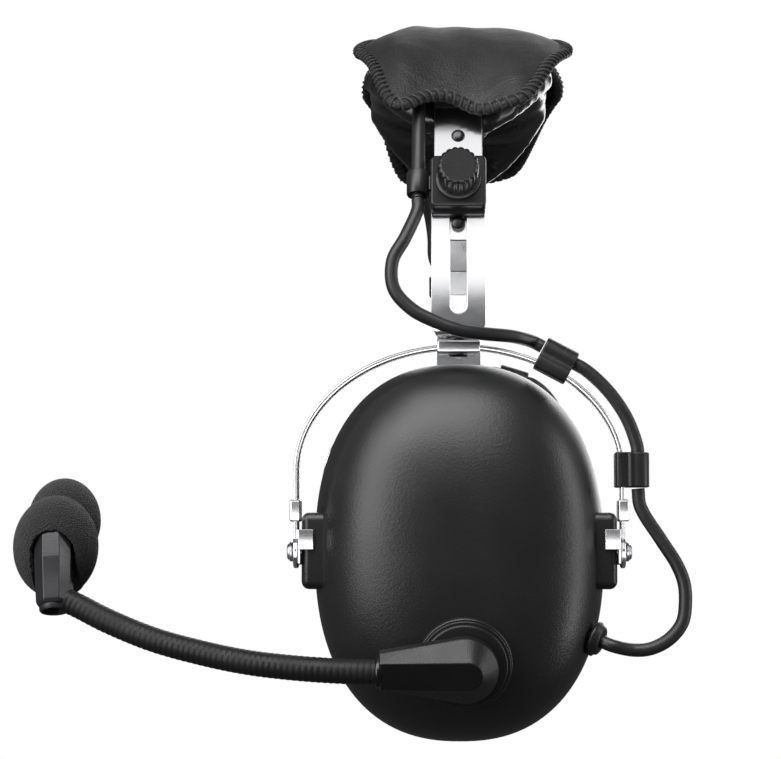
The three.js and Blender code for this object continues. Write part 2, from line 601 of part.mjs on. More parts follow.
// A teardrop casting, bevelled all round, with the post that turns in the flange.
function boomHolder() {
  const { round, reach, halfEnd, bevel } = HOLDER;
  const size = round - bevel;
  const tangent = Math.acos((size - halfEnd + bevel) / reach);
  const shape = new THREE.Shape();
  shape.moveTo(-reach + bevel, -halfEnd + bevel);
  shape.absarc(0, 0, size, -Math.PI + tangent + 0.05, Math.PI - tangent - 0.05, false);
  shape.lineTo(-reach + bevel, halfEnd - bevel);
  const casting = new THREE.ExtrudeGeometry(shape, {
    depth: HOLDER.to - HOLDER.from - 2 * bevel,
    bevelThickness: bevel,
    bevelSize: bevel,
    bevelSegments: 1,
    curveSegments: 10,
  });
  casting.rotateX(Math.PI / 2).translate(0, -HOLDER.from - bevel, 0);
  const post = bar([0, 5, 0], [0, -HOLDER.from - 1, 0], BOOM.post, 16);
  const socket = bar([-reach - 2, -HOLDER.axis, 0], [-reach + 6, -HOLDER.axis, 0], GOOSENECK_RADIUS + GAP, 12);
  return onBoomSeat(cut(join(casting, post), socket));
}

// Where the gooseneck leaves the holder, and its run forward and in toward the mouth.
const neckStart = onBoomSeat(new THREE.BufferGeometry().setFromPoints(
  [new THREE.Vector3(-HOLDER.reach + 5, -HOLDER.axis, 0)])).attributes.position.array;
const NECK_POINTS = [
  [...neckStart],
  [-33, neckStart[1] + 0.2, DOME_Z - 32.4],
  [-46, neckStart[1] + 2, DOME_Z - 31.6],
  [-59, neckStart[1] + 5, DOME_Z - 30.2],
  [-72, neckStart[1] + 9, DOME_Z - 27.8],
  [-85.5, neckStart[1] + 13, DOME_Z - 24.4],
  [-99, neckStart[1] + 17.5, DOME_Z - 19.4],
  [-107.5, neckStart[1] + 20, DOME_Z - 15.4],
  [-111.6, neckStart[1] + 20.7, DOME_Z - 13.6],
];
const MIC_BASE = [-114.6, neckStart[1] + 20.5, DOME_Z - 15];
const MIC_TOP = [-116.4, neckStart[1] + 27.5, DOME_Z + 7];
const MIC_ELEMENT = { radius: 4.8, half: 2.6, at: [-116.6, neckStart[1] + 34, DOME_Z + 7.4] };
const FOAM_NEAR = { at: [-116.5, neckStart[1] + 32, DOME_Z + 1.4], size: [12.4, 11.2, 14.8] };
const FOAM_FAR = { at: [-116.2, neckStart[1] + 44, DOME_Z + 9], size: [10.6, 11.5, 12.6] };

const micBar = (grow) => {
  const run = new THREE.Vector3(...MIC_TOP).sub(new THREE.Vector3(...MIC_BASE)).normalize();
  const from = new THREE.Vector3(...MIC_BASE).addScaledVector(run, -grow).toArray();
  const to = new THREE.Vector3(...MIC_TOP).addScaledVector(run, grow).toArray();
  return bar(from, to, 5.4 + grow, 8, 4 + grow);
};

function micHousing() {
  const neck = new THREE.Vector3(...NECK_POINTS.at(-1));
  const before = new THREE.Vector3(...NECK_POINTS.at(-2));
  const back = neck.clone().addScaledVector(before.sub(neck).normalize(), 4).toArray();
  return cut(micBar(0), bar(back, neck.clone().lerp(new THREE.Vector3(...MIC_BASE), 0.1).toArray(),
    GOOSENECK_RADIUS + GAP, 12));
}

function micElement(grow = 0) {
  const [x, y, z] = MIC_ELEMENT.at;
  const half = MIC_ELEMENT.half + grow;
  return bar([x, y - half, z], [x, y + half, z], MIC_ELEMENT.radius + grow, 16);
}

// A foam cap of two lobes, hollowed for the microphone that stands in it.
function windscreen() {
  const lobe = ({ at, size }) =>
    new THREE.SphereGeometry(1, 14, 9).scale(...size).translate(...at);
  return cut(join(lobe(FOAM_NEAR), lobe(FOAM_FAR)), micBar(GAP + 0.1), micElement(GAP),
    bar(MIC_TOP, MIC_ELEMENT.at, 3, 8));
}

// ---- crossover cable -------------------------------------------------------------------------------------------
// From the left ring, up into the pad, over the crown beside the spring, and down to the right ring,
// which it reaches across the face of the clamp block.
function crossoverCable() {
  const crown = (turn, radius = turn < 30 ? 68 : 67.2) =>
    [CABLE_X, -radius * Math.cos(turn * DEG), CROWN_Z + radius * Math.sin(turn * DEG)];
  const other = ([x, y, z]) => [x, -y, z];
  const up = [24, 33, 42, 52, 63, 76].map((turn) => crown(turn));
  return tube([
    ringEnd("left", -RING.half - 1), ringEnd("left", RING.half), ...up,
    crown(90),
    ...up.slice(1).reverse().map(other),
    other(onClamp(-11.2, 17, 5)),
    other(onClamp(-9.8, 9.5, 8.3)),
    other(onClamp(-9, 3, 8.5)),
    other(onClamp(-8.8, -3.5, 8.5)),
    other(ringEnd("right", RING.half + 2)),
    other(ringEnd("right", RING.half)),
    other(ringEnd("right", -RING.half - 1)),
  ], CABLE_RADIUS, 36);
}

const clipEnds = (side, out) => {
  const at = archPoint(UPPER_CLIP_TURN[side], CLIP.cable);
  return [at.x + out * Math.cos(at.slope), -STIRRUP_Y, at.z + out * Math.sin(at.slope)];
};

// From the ring, out in a slack bow in front of the strap's foot, to the stirrup's upper clip.
const LINK_POINTS = {
  left: [
    [-15, 3.5, 89], [-18.6, 5, 82], [-18.2, 6, 74], [-13, 6.4, 68], [-6.5, 6.4, 64.6],
    [0, 6, 62.2], [6.6, 4, 61.4], [16, -1, 60.9],
  ],
  right: [
    [-6.6, 10, 81], [-5, 13, 75.5], [-1.5, 13.4, 70], [3.4, 9.6, 66], [8.4, 4.4, 63.2], [10.6, -1.4, 62.4],
  ],
};

function cableLink(side) {
  return tube([
    ringEnd(side, -RING.half - 1 - GAP),
    ringEnd(side, -RING.half - 4),
    ...LINK_POINTS[side].map(([x, out, z]) => [x, -LEG_Y - out, DOME_Z + z]),
    clipEnds(side, -CLIP_LENGTH / 2 - (side === "left" ? 3 : 1.2)),
    clipEnds(side, -CLIP_LENGTH / 2 - GAP),
  ], CABLE_RADIUS, 22);
}

// Along the stirrup: on the left through both clips, and on the right through its one clip.
function stirrupCable(side) {
  const through = [clipEnds(side, -CLIP_LENGTH / 2), clipEnds(side, CLIP_LENGTH / 2)];
  if (side === "right") return tube(through, CABLE_RADIUS, 2);
  const arch = [46, 57, 69, 80].map((turn) => {
    const { x, z } = archPoint(turn * DEG, CLIP.cable + 0.6);
    return [x, -STIRRUP_Y, z];
  });
  const x = BAND_X + CLIP.cable;
  const low = DOME_Z + LOWER_CLIP_Z - CLIP_LENGTH / 2;
  return tube([...through, ...arch, [x, -STIRRUP_Y, low + CLIP_LENGTH], [x, -STIRRUP_Y, low]],
    CABLE_RADIUS, 14);
}

// From the last clip, round in a loop and into the dome's grommet.
const LOOP_X = BAND_X + CLIP.cable;
const LOOP_Z = LOWER_CLIP_Z - CLIP_LENGTH / 2 - GAP;
const LOOP_POINTS = {
  left: [
    [LOOP_X, 0, LOOP_Z], [LOOP_X + 0.6, 0, LOOP_Z - 5], [57.5, 0.4, 3], [61.5, 1, -3.4], [63.5, 1.5, -8.7],
    [63.8, 2, -14.4], [62.8, 2.4, -20], [59, 2.8, -24.6], [53.8, 3, -27.2], [49, 2.8, -27.6],
  ],
  right: [[28.6, 1.6, 56], [32, 5.4, 52.6], [34.2, 10.4, 49], [33.8, 15.2, 45]],
};

function domeCable(side) {
  const into = (out) => [...alongGrommet(side, new THREE.BufferGeometry().setFromPoints(
    [new THREE.Vector3(out, 0, 0)])).attributes.position.array];
  const points = LOOP_POINTS[side].map(([x, out, z]) => [x, -STIRRUP_Y - out, DOME_Z + z]);
  if (side === "right") points.unshift(clipEnds(side, CLIP_LENGTH / 2 + GAP), clipEnds(side, CLIP_LENGTH / 2 + 2));
  return tube([...points, into(8), into(4.6), into(-2.5)], CABLE_RADIUS, 20);
}

// ---- assembly ----------------------------------------------------------------------------------------------------
const headset = new THREE.Group();

add(headset, "headband_spring", headbandSpring(), FINISH.chrome);
add(headset, "head_pad_cover", headPadCover(), FINISH.leather);
add(headset, "head_pad_cushion", headPadCushion(), FINISH.vinyl);
add(headset, "crossover_cable", crossoverCable(), FINISH.rubber);

for (const side of ["left", "right"]) {
  const left = side === "left";
  const group = new THREE.Group();
  group.scale.y = left ? 1 : -1;
  const piece = (name, geometry, finish) => add(group, `${side}_${name}`, geometry, finish);
  piece("pad_strap", padStrap(), FINISH.leather);
  piece("clamp_block", clampBlock(), FINISH.knob);
  piece("clamp_nut_plate", clampNutPlate(), FINISH.steel);
  piece("cable_ring", cableRing(side), FINISH.rubber);
  piece("adjusting_knob", adjustingKnob(), FINISH.knob);
  piece("adjusting_strap", adjustingStrap(), FINISH.chrome);
  piece("cable_link", cableLink(side), FINISH.rubber);
  piece("stirrup_band", stirrupBand(), FINISH.chrome);
  piece("stirrup_sleeve", stirrupSleeve(), FINISH.chrome);
  piece("swivel_rivet", swivelRivet(), FINISH.steel);
  placeClip(piece("upper_cable_clip", cableClip(), FINISH.rubber), UPPER_CLIP_TURN[side]);
  if (left) placeClip(piece("lower_cable_clip", cableClip(), FINISH.rubber), 0, LOWER_CLIP_Z);
  piece("stirrup_cable", stirrupCable(side), FINISH.rubber);
  piece("ear_dome", earDome(side), FINISH.shell);
  for (const [place, end] of [["front", -1], ["rear", 1]]) {
    piece(`${place}_pivot_screw`, pivotScrew(end), FINISH.steel);
    piece(`${place}_pivot_clip`, pivotClip(end), FINISH.chrome);
  }
  piece("foam_liner", foamLiner(side), FINISH.foam);
  piece("baffle_plate", bafflePlate(), FINISH.shell);
  piece("speaker", speaker(), FINISH.steel);
  piece("ear_seal", earSeal(), FINISH.vinyl);
  piece("cable_grommet", cableGrommet(side), FINISH.rubber);
  piece("dome_cable", domeCable(side), FINISH.rubber);
  headset.add(group);
  if (!left) piece("comm_cord_gland", commCordGland(), FINISH.rubber);
}

add(headset, "boom_flange", boomFlange(), FINISH.shell);
add(headset, "boom_holder", boomHolder(), FINISH.shell);
add(headset, "gooseneck", tube(NECK_POINTS, GOOSENECK_RADIUS, 24, 10), FINISH.rubber);
add(headset, "mic_housing", micHousing(), FINISH.shell);
add(headset, "mic_element", micElement(), FINISH.steel);
add(headset, "windscreen", windscreen(), FINISH.foam);

export default headset;
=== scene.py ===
import json
import math
import bmesh
import bpy
import numpy as np
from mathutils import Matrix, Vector


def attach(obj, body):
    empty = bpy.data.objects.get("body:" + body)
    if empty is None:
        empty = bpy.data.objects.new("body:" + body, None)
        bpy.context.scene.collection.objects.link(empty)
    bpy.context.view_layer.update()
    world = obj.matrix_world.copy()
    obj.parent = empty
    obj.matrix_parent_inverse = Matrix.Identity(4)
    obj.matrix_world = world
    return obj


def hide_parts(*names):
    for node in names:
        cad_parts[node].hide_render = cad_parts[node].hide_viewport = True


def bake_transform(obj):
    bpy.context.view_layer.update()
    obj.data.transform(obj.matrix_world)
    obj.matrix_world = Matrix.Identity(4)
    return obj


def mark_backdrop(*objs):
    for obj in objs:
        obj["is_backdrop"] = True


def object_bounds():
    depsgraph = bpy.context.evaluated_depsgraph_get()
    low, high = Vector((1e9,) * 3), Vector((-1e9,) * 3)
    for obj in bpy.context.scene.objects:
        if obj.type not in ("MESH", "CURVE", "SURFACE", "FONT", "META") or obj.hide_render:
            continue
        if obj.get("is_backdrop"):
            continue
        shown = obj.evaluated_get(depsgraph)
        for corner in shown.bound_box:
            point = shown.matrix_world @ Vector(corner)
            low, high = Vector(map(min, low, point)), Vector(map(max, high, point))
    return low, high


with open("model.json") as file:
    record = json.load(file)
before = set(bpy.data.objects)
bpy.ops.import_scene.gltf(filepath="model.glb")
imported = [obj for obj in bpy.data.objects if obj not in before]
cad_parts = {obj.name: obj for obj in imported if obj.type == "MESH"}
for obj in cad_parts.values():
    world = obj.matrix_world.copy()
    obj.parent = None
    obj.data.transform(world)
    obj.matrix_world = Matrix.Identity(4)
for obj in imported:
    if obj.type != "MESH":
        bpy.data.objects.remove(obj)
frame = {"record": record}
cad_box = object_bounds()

MM = 0.001
SIDES = ("left", "right")


# ---- Camera, lights and floor --------------------------------------------------------------------
# The camera stands level with the left dome and looks slightly up and forward at the whole headset.
# Soft boxes to the left, right, above and behind stand in a dim room with a white floor and surround.
joints = {j["name"]: j for j in frame["record"]["behaviour"]["joints"]}
DOME_AT = np.array(joints["left_dome_tilt"]["pos_m"]) / MM
CAMERA_Y = -694.5
LENS = 101.4
LOOK = np.array([-math.tan(math.radians(1.78)), 1.0, math.tan(math.radians(4.45))])

camera_data = bpy.data.cameras.new("camera")
camera_data.lens = LENS
camera = bpy.data.objects.new("camera", camera_data)
bpy.context.collection.objects.link(camera)
bpy.context.scene.camera = camera


def aim(obj, at, toward):
    """Places an object at a point, in millimetres, with its -Z axis along a direction and Y up."""
    obj.location = Vector(at) * MM
    obj.rotation_euler = Vector(toward).to_track_quat("-Z", "Y").to_euler()


aim(camera, (0, CAMERA_Y, DOME_AT[2] + 0.3), LOOK)


def softbox(name, at, size, power):
    """An area light of a width and height in metres, aimed at the middle of the headset."""
    data = bpy.data.lights.new(name, "AREA")
    data.shape = "RECTANGLE"
    data.size, data.size_y = size
    data.energy = power
    light = bpy.data.objects.new(name, data)
    bpy.context.collection.objects.link(light)
    aim(light, at, np.array([0, -40, -100]) - np.array(at))


softbox("left_softbox", (-760, -700, 240), (0.6, 1.2), 10)
softbox("right_softbox", (950, -150, -50), (0.25, 1.1), 4)
softbox("top_softbox", (-120, -620, 760), (0.8, 0.8), 11)
softbox("rear_softbox", (300, 900, 300), (0.9, 0.9), 8)
# The bright metal has panels of its own, and the top box lights everything but that metal.
polished = bpy.data.collections.new("polished")
dull = bpy.data.collections.new("dull")
dull.children.link(polished)
dull.collection_children[0].light_linking.link_state = "EXCLUDE"
bpy.data.objects["top_softbox"].light_linking.receiver_collection = dull
for place, at, size, power in (("front", (0, -930, 350), (1.4, 0.36), 2.2),
                               ("high", (0, -700, 800), (1.4, 0.5), 2.4),
                               ("low", (0, -900, -440), (1.6, 0.6), 7.5),
                               ("left", (-900, -250, -100), (0.8, 1.2), 3.2),
                               ("right", (900, -250, -100), (0.8, 1.2), 3.2)):
    softbox(f"{place}_panel", at, size, power)
    bpy.data.objects[f"{place}_panel"].light_linking.receiver_collection = polished

world = bpy.data.worlds.new("room")
world.use_nodes = True
world.node_tree.nodes["Background"].inputs["Color"].default_value = (0.55, 0.56, 0.58, 1)
world.node_tree.nodes["Background"].inputs["Strength"].default_value = 0.16
bpy.context.scene.world = world
bpy.context.scene.view_settings.view_transform = "Standard"


def emission(name, color, strength):
    """A plain glowing surface, for the surround."""
    made = bpy.data.materials.new(name)
    made.use_nodes = True
    tree = made.node_tree
    tree.nodes.clear()
    glow = tree.nodes.new("ShaderNodeEmission")
    glow.inputs["Color"].default_value = (*color, 1)
    glow.inputs["Strength"].default_value = strength
    out = tree.nodes.new("ShaderNodeOutputMaterial")
    tree.links.new(glow.outputs[0], out.inputs["Surface"])
    return made


SURROUND = 4.0
FLOOR_DROP = 0.02
floor_z = cad_box[0][2] - FLOOR_DROP
bpy.ops.mesh.primitive_plane_add(size=2 * SURROUND, location=(0, 0, floor_z))
floor = bpy.context.object
floor.name = "floor"
floor.data.materials.append(emission("pale_floor", (1, 1, 1), 1.0))
bpy.ops.mesh.primitive_uv_sphere_add(radius=SURROUND, segments=32, ring_count=16)
surround = bpy.context.object
surround.name = "surround"
surround.data.materials.append(emission("white_surround", (1, 1, 1), 1.0))
for stage in (floor, surround):
    stage.visible_glossy = False
    stage.visible_diffuse = False
    stage.visible_shadow = False
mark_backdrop(floor, surround)


# ---- Cable: the crossover cable in its stretches --------------------------------------------------
# A 3.8 mm black cable with a satin jacket. It leaves the left dome, follows the stirrup in two clips,
# hangs in an S past the strap's foot, goes through the clamp's ring and over the head, and down again.
def grid_faces(rows, cols, wrap_rows=False, wrap_cols=False):
    """The quads of a lattice of rows by cols corners; a wrapped direction joins its ends."""
    i = np.arange(rows if wrap_rows else rows - 1)
    j = np.arange(cols if wrap_cols else cols - 1)
    i, j = (a.ravel() for a in np.meshgrid(i, j, indexing="ij"))
    k, m = (i + 1) % rows, (j + 1) % cols
    return np.stack([i * cols + j, k * cols + j, k * cols + m, i * cols + m], 1)


def lidded(rows, cols):
    """The quads of a tube of rows rings by cols corners, and a flat lid on each end."""
    last = (rows - 1) * cols
    return grid_faces(rows, cols, wrap_cols=True).tolist() + [list(range(cols)),
            list(range(last, last + cols))]


def piece(name, verts, faces, finish, body, replaced=(), side="left", smooth=True):
    """A closed mesh from corners in millimetres, its doubles merged and its faces turned outward."""
    verts = np.asarray(verts, float).reshape(-1, 3) * MM
    if side == "right":
        verts = verts * (1, -1, 1)
    mesh = bpy.data.meshes.new(name)
    mesh.from_pydata(verts.tolist(), [], [list(map(int, f)) for f in faces])
    cleaned = bmesh.new()
    cleaned.from_mesh(mesh)
    bmesh.ops.remove_doubles(cleaned, verts=cleaned.verts, dist=1e-7)
    bmesh.ops.dissolve_degenerate(cleaned, edges=cleaned.edges, dist=1e-7)
    bmesh.ops.recalc_face_normals(cleaned, faces=cleaned.faces)
    cleaned.to_mesh(mesh)
    cleaned.free()
    mesh.polygons.foreach_set("use_smooth", [smooth] * len(mesh.polygons))
    if smooth:
        mesh.set_sharp_from_angle(angle=math.radians(60))
    mesh.materials.append(finish)
    obj = bpy.data.objects.new(name, mesh)
    bpy.context.collection.objects.link(obj)
    if isinstance(body, str):
        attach(obj, body)
    if replaced:
        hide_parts(*replaced)
    if finish.get("polished"):
        polished.objects.link(obj)
    return obj


def smooth_path(points, per_span=10):
    """A centripetal Catmull-Rom curve through the points, with the end points' tangents kept straight."""
    p = np.asarray(points, float)
    p = np.vstack([2 * p[0] - p[1], p, 2 * p[-1] - p[-2]])
    knots = np.concatenate([[0], np.cumsum(np.linalg.norm(np.diff(p, axis=0), axis=1) ** 0.5)])
    runs = []
    for i in range(1, len(p) - 2):
        t = np.linspace(knots[i], knots[i + 1], per_span, endpoint=False)[:, None]
        t0, t1, t2, t3 = knots[i - 1:i + 3]
        a1 = (t1 - t) / (t1 - t0) * p[i - 1] + (t - t0) / (t1 - t0) * p[i]
        a2 = (t2 - t) / (t2 - t1) * p[i] + (t - t1) / (t2 - t1) * p[i + 1]
        a3 = (t3 - t) / (t3 - t2) * p[i + 1] + (t - t2) / (t3 - t2) * p[i + 2]
        b1 = (t2 - t) / (t2 - t0) * a1 + (t - t0) / (t2 - t0) * a2
        b2 = (t3 - t) / (t3 - t1) * a2 + (t - t1) / (t3 - t1) * a3
        runs.append((t2 - t) / (t2 - t1) * b1 + (t - t1) / (t2 - t1) * b2)
    return np.vstack(runs + [p[-2][None]])


def unit(v):
    """Each vector divided by its length."""
    return v / np.maximum(np.linalg.norm(v, axis=-1, keepdims=True), 1e-12)


def carried_frames(path):
    """Unit tangent, and two unit normals that are carried along the path without twisting."""
    tangent = unit(np.gradient(path, axis=0))
    first = np.cross(tangent[0], [0.0, 1.0, 0.0])
    if np.linalg.norm(first) < 0.2:
        first = np.cross(tangent[0], [1.0, 0.0, 0.0])
    normals = [unit(first)]
    for t in tangent[1:]:
        normals.append(unit(normals[-1] - t * np.dot(normals[-1], t)))
    normal = np.array(normals)
    return tangent, normal, np.cross(tangent, normal)


def tube(path, radius, sides=20):
    """A closed tube: path + radius (cos a, sin a) in the carried frame, with a flat lid at each end."""
    _, n, b = carried_frames(path)
    a = np.linspace(0, 2 * math.pi, sides, endpoint=False)
    r = np.broadcast_to(np.asarray(radius, float).reshape(-1, 1, 1), (len(path), 1, 1))
    rings = path[:, None] + r * (np.cos(a)[:, None] * n[:, None] + np.sin(a)[:, None] * b[:, None])
    return rings.reshape(-1, 3), lidded(len(path), sides)


def coat(name, slot, color, roughness, metallic=0.0, grain=None, patch=None, coat_weight=0.0, sheen=0.0,
         specular=0.5):
    """A principled finish whose roughness varies in soft patches and whose surface carries a fine grain.
    grain is (kind, cells per metre, height in metres); patch is (cells per metre, roughness swing)."""
    made = bpy.data.materials.new(name)
    made.use_nodes = True
    made["slot"] = slot
    tree = made.node_tree
    shader = tree.nodes["Principled BSDF"]
    shader.inputs["Specular IOR Level"].default_value = specular
    shader.inputs["Base Color"].default_value = (*color, 1)
    shader.inputs["Roughness"].default_value = roughness
    shader.inputs["Metallic"].default_value = metallic
    shader.inputs["Coat Weight"].default_value = coat_weight
    shader.inputs["Sheen Weight"].default_value = sheen
    where = tree.nodes.new("ShaderNodeTexCoord")
    if patch:
        noise = tree.nodes.new("ShaderNodeTexNoise")
        noise.inputs["Scale"].default_value = patch[0]
        noise.inputs["Detail"].default_value = 6
        span = tree.nodes.new("ShaderNodeMapRange")
        span.inputs["From Min"].default_value = 0.3
        span.inputs["From Max"].default_value = 0.7
        span.inputs["To Min"].default_value = max(0.02, roughness - patch[1])
        span.inputs["To Max"].default_value = min(1.0, roughness + patch[1])
        tree.links.new(where.outputs["Object"], noise.inputs["Vector"])
        tree.links.new(noise.outputs["Fac"], span.inputs["Value"])
        tree.links.new(span.outputs["Result"], shader.inputs["Roughness"])
        tint = tree.nodes.new("ShaderNodeMix")
        tint.data_type = "RGBA"
        tint.inputs["A"].default_value = (*color, 1)
        tint.inputs["B"].default_value = (*(min(1, c * 1.35 + 0.002) for c in color), 1)
        tree.links.new(noise.outputs["Fac"], tint.inputs["Factor"])
        tree.links.new(tint.outputs["Result"], shader.inputs["Base Color"])
    if grain:
        kind, scale, height = grain
        if kind == "noise":
            relief = tree.nodes.new("ShaderNodeTexNoise")
            relief.inputs["Detail"].default_value = 4
            value = relief.outputs["Fac"]
        else:
            relief = tree.nodes.new("ShaderNodeTexVoronoi")
            relief.feature = "DISTANCE_TO_EDGE" if kind == "hide" else "F1"
            value = relief.outputs["Distance"]
        relief.inputs["Scale"].default_value = scale
        tree.links.new(where.outputs["Object"], relief.inputs["Vector"])
        bump = tree.nodes.new("ShaderNodeBump")
        bump.inputs["Distance"].default_value = height
        bump.inputs["Strength"].default_value = 1.0
        if kind == "hide":
            soften = tree.nodes.new("ShaderNodeMapRange")
            soften.inputs["From Max"].default_value = 0.18
            soften.interpolation_type = "SMOOTHSTEP"
            tree.links.new(value, soften.inputs["Value"])
            value = soften.outputs["Result"]
        tree.links.new(value, bump.inputs["Height"])
        tree.links.new(bump.outputs["Normal"], shader.inputs["Normal"])
    return made


CABLE_RADIUS = 1.9
CABLE = coat("cable_jacket", "cable_rubber", (0.014, 0.014, 0.015), 0.42,
             grain=("noise", 2500, 0.00004), patch=(60, 0.08))

# The arcs of the headband: the leg's centre and radius come from the strap's slide, and the crown's
# arc runs into both legs.
LEG_CENTRE = np.array(joints["left_strap_slide"]["pos_m"][1:]) / MM
LEG_RADIUS = 150.0
CROWN_RADIUS = 66.0
LEG_SWEEP = math.acos(LEG_CENTRE[0] / (LEG_RADIUS - CROWN_RADIUS))
CROWN_Z = LEG_CENTRE[1] + (LEG_RADIUS - CROWN_RADIUS) * math.sin(LEG_SWEEP)
LEG_FOOT_Y = LEG_CENTRE[0] - LEG_RADIUS
CLAMP_AT = math.asin((joints["left_knob_turn"]["pos_m"][2] / MM - LEG_CENTRE[1]) / LEG_RADIUS)


def leg_point(turn, out=0.0):
    """Y and Z on the left leg: centre + (radius + out) (-cos turn, sin turn)."""
    r = LEG_RADIUS + out
    return np.stack([LEG_CENTRE[0] - r * np.cos(turn), LEG_CENTRE[1] + r * np.sin(turn)], -1)


def on_clamp(across, along, out):
    """A point in the clamp's flat frame: across the strap, up along it, and outward from it."""
    up = np.array([0, math.sin(CLAMP_AT), math.cos(CLAMP_AT)])
    way = np.array([0, -math.cos(CLAMP_AT), math.sin(CLAMP_AT)])
    middle = np.array([0, *leg_point(CLAMP_AT)])
    a, b, c = (np.asarray(v, float)[..., None] for v in np.broadcast_arrays(across, along, out))
    return middle + a * np.array([1.0, 0, 0]) + b * up + c * way


CABLE_X, RING_HALF = -11.5, 3.6
RINGS = {"left": (CABLE_X, 0.0, 3.2), "right": (-7.0, -14.0, 7.6)}


def ring_end(side, up):
    """A point on the axis of a side's cable ring, up from the ring's middle."""
    x, along, out = RINGS[side]
    return on_clamp(x, along + up, out)


CLIP_LENGTH, CLIP_OUT = 10.0, 4.5
STIRRUP_Y = joints["left_stirrup_swivel"]["pos_m"][1] / MM
DOME_Z = DOME_AT[2]
BAND_X, ARCH_FOOT, ARCH_RISE = 46.4, 23.0, 35.4
UPPER_CLIP_TURN = {"left": math.radians(35), "right": math.radians(22)}
LOWER_CLIP_Z = 23.2


def arch_point(turn, out=0.0):
    """A point of the stirrup's middle line, an ellipse over the dome, moved out along its normal."""
    along = np.array([BAND_X * math.cos(turn), 0, -ARCH_RISE * math.sin(turn)])
    normal = unit(np.array([-along[2], 0, along[0]]))
    middle = np.array([BAND_X * math.sin(turn), STIRRUP_Y,
                       DOME_Z + ARCH_FOOT + ARCH_RISE * math.cos(turn)])
    return middle + out * normal, unit(along)


def clip_end(side, run):
    """A point on the cable's line through a side's upper clip, run along it from the clip's middle."""
    middle, along = arch_point(UPPER_CLIP_TURN[side], CLIP_OUT)
    return middle + along * run


def dome_point(x, out, z):
    """A point beside the dome: x, how far outside the stirrup's plane, and the height over its centre."""
    return (x, STIRRUP_Y - out, DOME_Z + z)


def foot_point(x, out, z):
    """A point beside the strap's foot: x, how far outside its plane, and the height over the dome."""
    return (x, LEG_FOOT_Y - out, DOME_Z + z)


# Every path is laid out for the left side, in points of (x, outward, height over the dome).
LINK_BOW = {
    "left": [(-15, 3.5, 89), (-18.6, 5, 82), (-18.2, 6, 74), (-13, 6.4, 68), (-6.5, 6.4, 64.6),
             (0, 6, 62.2), (6.6, 4, 61.4), (16, -1, 60.9)],
    "right": [(-6.6, 10, 81), (-5, 13, 75.5), (-1.5, 13.4, 70), (3.4, 9.6, 66), (8.4, 4.4, 63.2),
              (10.6, -1.4, 62.4)],
}
LINK_SPLIT_X = {"left": -4.0, "right": 0.5}
LOOP_X = BAND_X + CLIP_OUT
LOOP_TOP = LOWER_CLIP_Z - CLIP_LENGTH / 2 - 0.3
LOOP_BOW = {
    "left": [(LOOP_X, 0, LOOP_TOP), (LOOP_X + 0.6, 0, LOOP_TOP - 5), (57.5, 0.4, 3), (61.5, 1, -3.4),
             (63.5, 1.5, -8.7),
             (63.8, 2, -14.4), (62.8, 2.4, -20), (59, 2.8, -24.6), (53.8, 3, -27.2), (49, 2.8, -27.6)],
    "right": [(28.6, 1.6, 56), (32, 5.4, 52.6), (34.2, 10.4, 49), (33.8, 15.2, 45)],
}
# Where each dome's grommet stands, and how far its axis rises and turns outward from straight back.
GROMMETS = {"left": ((36.2, 1, -23.7), math.radians(-20), math.radians(20)),
            "right": ((25.5, 9, 37), math.radians(28.6), math.radians(52.2))}


def grommet_point(side, out):
    """A point on the axis of a side's grommet, and the axis itself."""
    at, rise, turn = GROMMETS[side]
    axis = np.array([math.cos(rise) * math.cos(turn), -math.cos(rise) * math.sin(turn), math.sin(rise)])
    return dome_point(*at) + out * axis, axis


def bending_cable(name, path, side, replaced=()):
    """A stretch of cable that bends between two bodies, attached to neither, with its placement baked into
    its mesh.
    """
    obj = piece(name, *tube(path, CABLE_RADIUS), CABLE, None, replaced, side)
    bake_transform(obj)
    return obj


for side in SIDES:
    left = side == "left"
    near_clip = CLIP_LENGTH / 2 + (3 if left else 1.2)
    link = [ring_end(side, -RING_HALF - 1.3), ring_end(side, -RING_HALF - 4)]
    link += [foot_point(*p) for p in LINK_BOW[side]] + [clip_end(side, -near_clip),
                                                        clip_end(side, -CLIP_LENGTH / 2 - 0.3)]
    if not left:
        link = [ring_end(side, RING_HALF)] + link + [clip_end(side, CLIP_LENGTH / 2 + 0.3)]
    link = smooth_path(link)
    split = int(np.argmin(np.abs(link[:, 0] - LINK_SPLIT_X[side]) + 100 * (link[:, 2] > DOME_Z + 78)))
    ends = ring_end(side, -RING_HALF - 1), clip_end(side, -CLIP_LENGTH / 2)
    bending_cable(f"{side}_cable_by_strap", link[:split + 1],
                  side, (f"{side}_cable_link",))
    bending_cable(f"{side}_cable_by_clip", link[split:],
                  side, () if left else ("right_stirrup_cable",))
    loop = [dome_point(*p) for p in LOOP_BOW[side]]
    loop += [grommet_point(side, out)[0] for out in (8, 4.6, -2.5)]
    if not left:
        loop = [clip_end(side, CLIP_LENGTH / 2 + 0.3), clip_end(side, CLIP_LENGTH / 2 + 2)] + loop
    loop = smooth_path(loop)
    bending_cable(f"{side}_cable_loop", loop,
                  side, (f"{side}_dome_cable",))

run = [clip_end("left", -CLIP_LENGTH / 2), clip_end("left", CLIP_LENGTH / 2)]
run += [arch_point(math.radians(turn), CLIP_OUT + 0.6)[0] for turn in (46, 57, 69, 80)]
run += [dome_point(LOOP_X, 0, LOWER_CLIP_Z + CLIP_LENGTH / 2), dome_point(LOOP_X, 0, LOOP_TOP + 0.3)]
piece("left_cable_on_stirrup", *tube(smooth_path(run), CABLE_RADIUS), CABLE, "left_stirrup",
      ("left_stirrup_cable",))


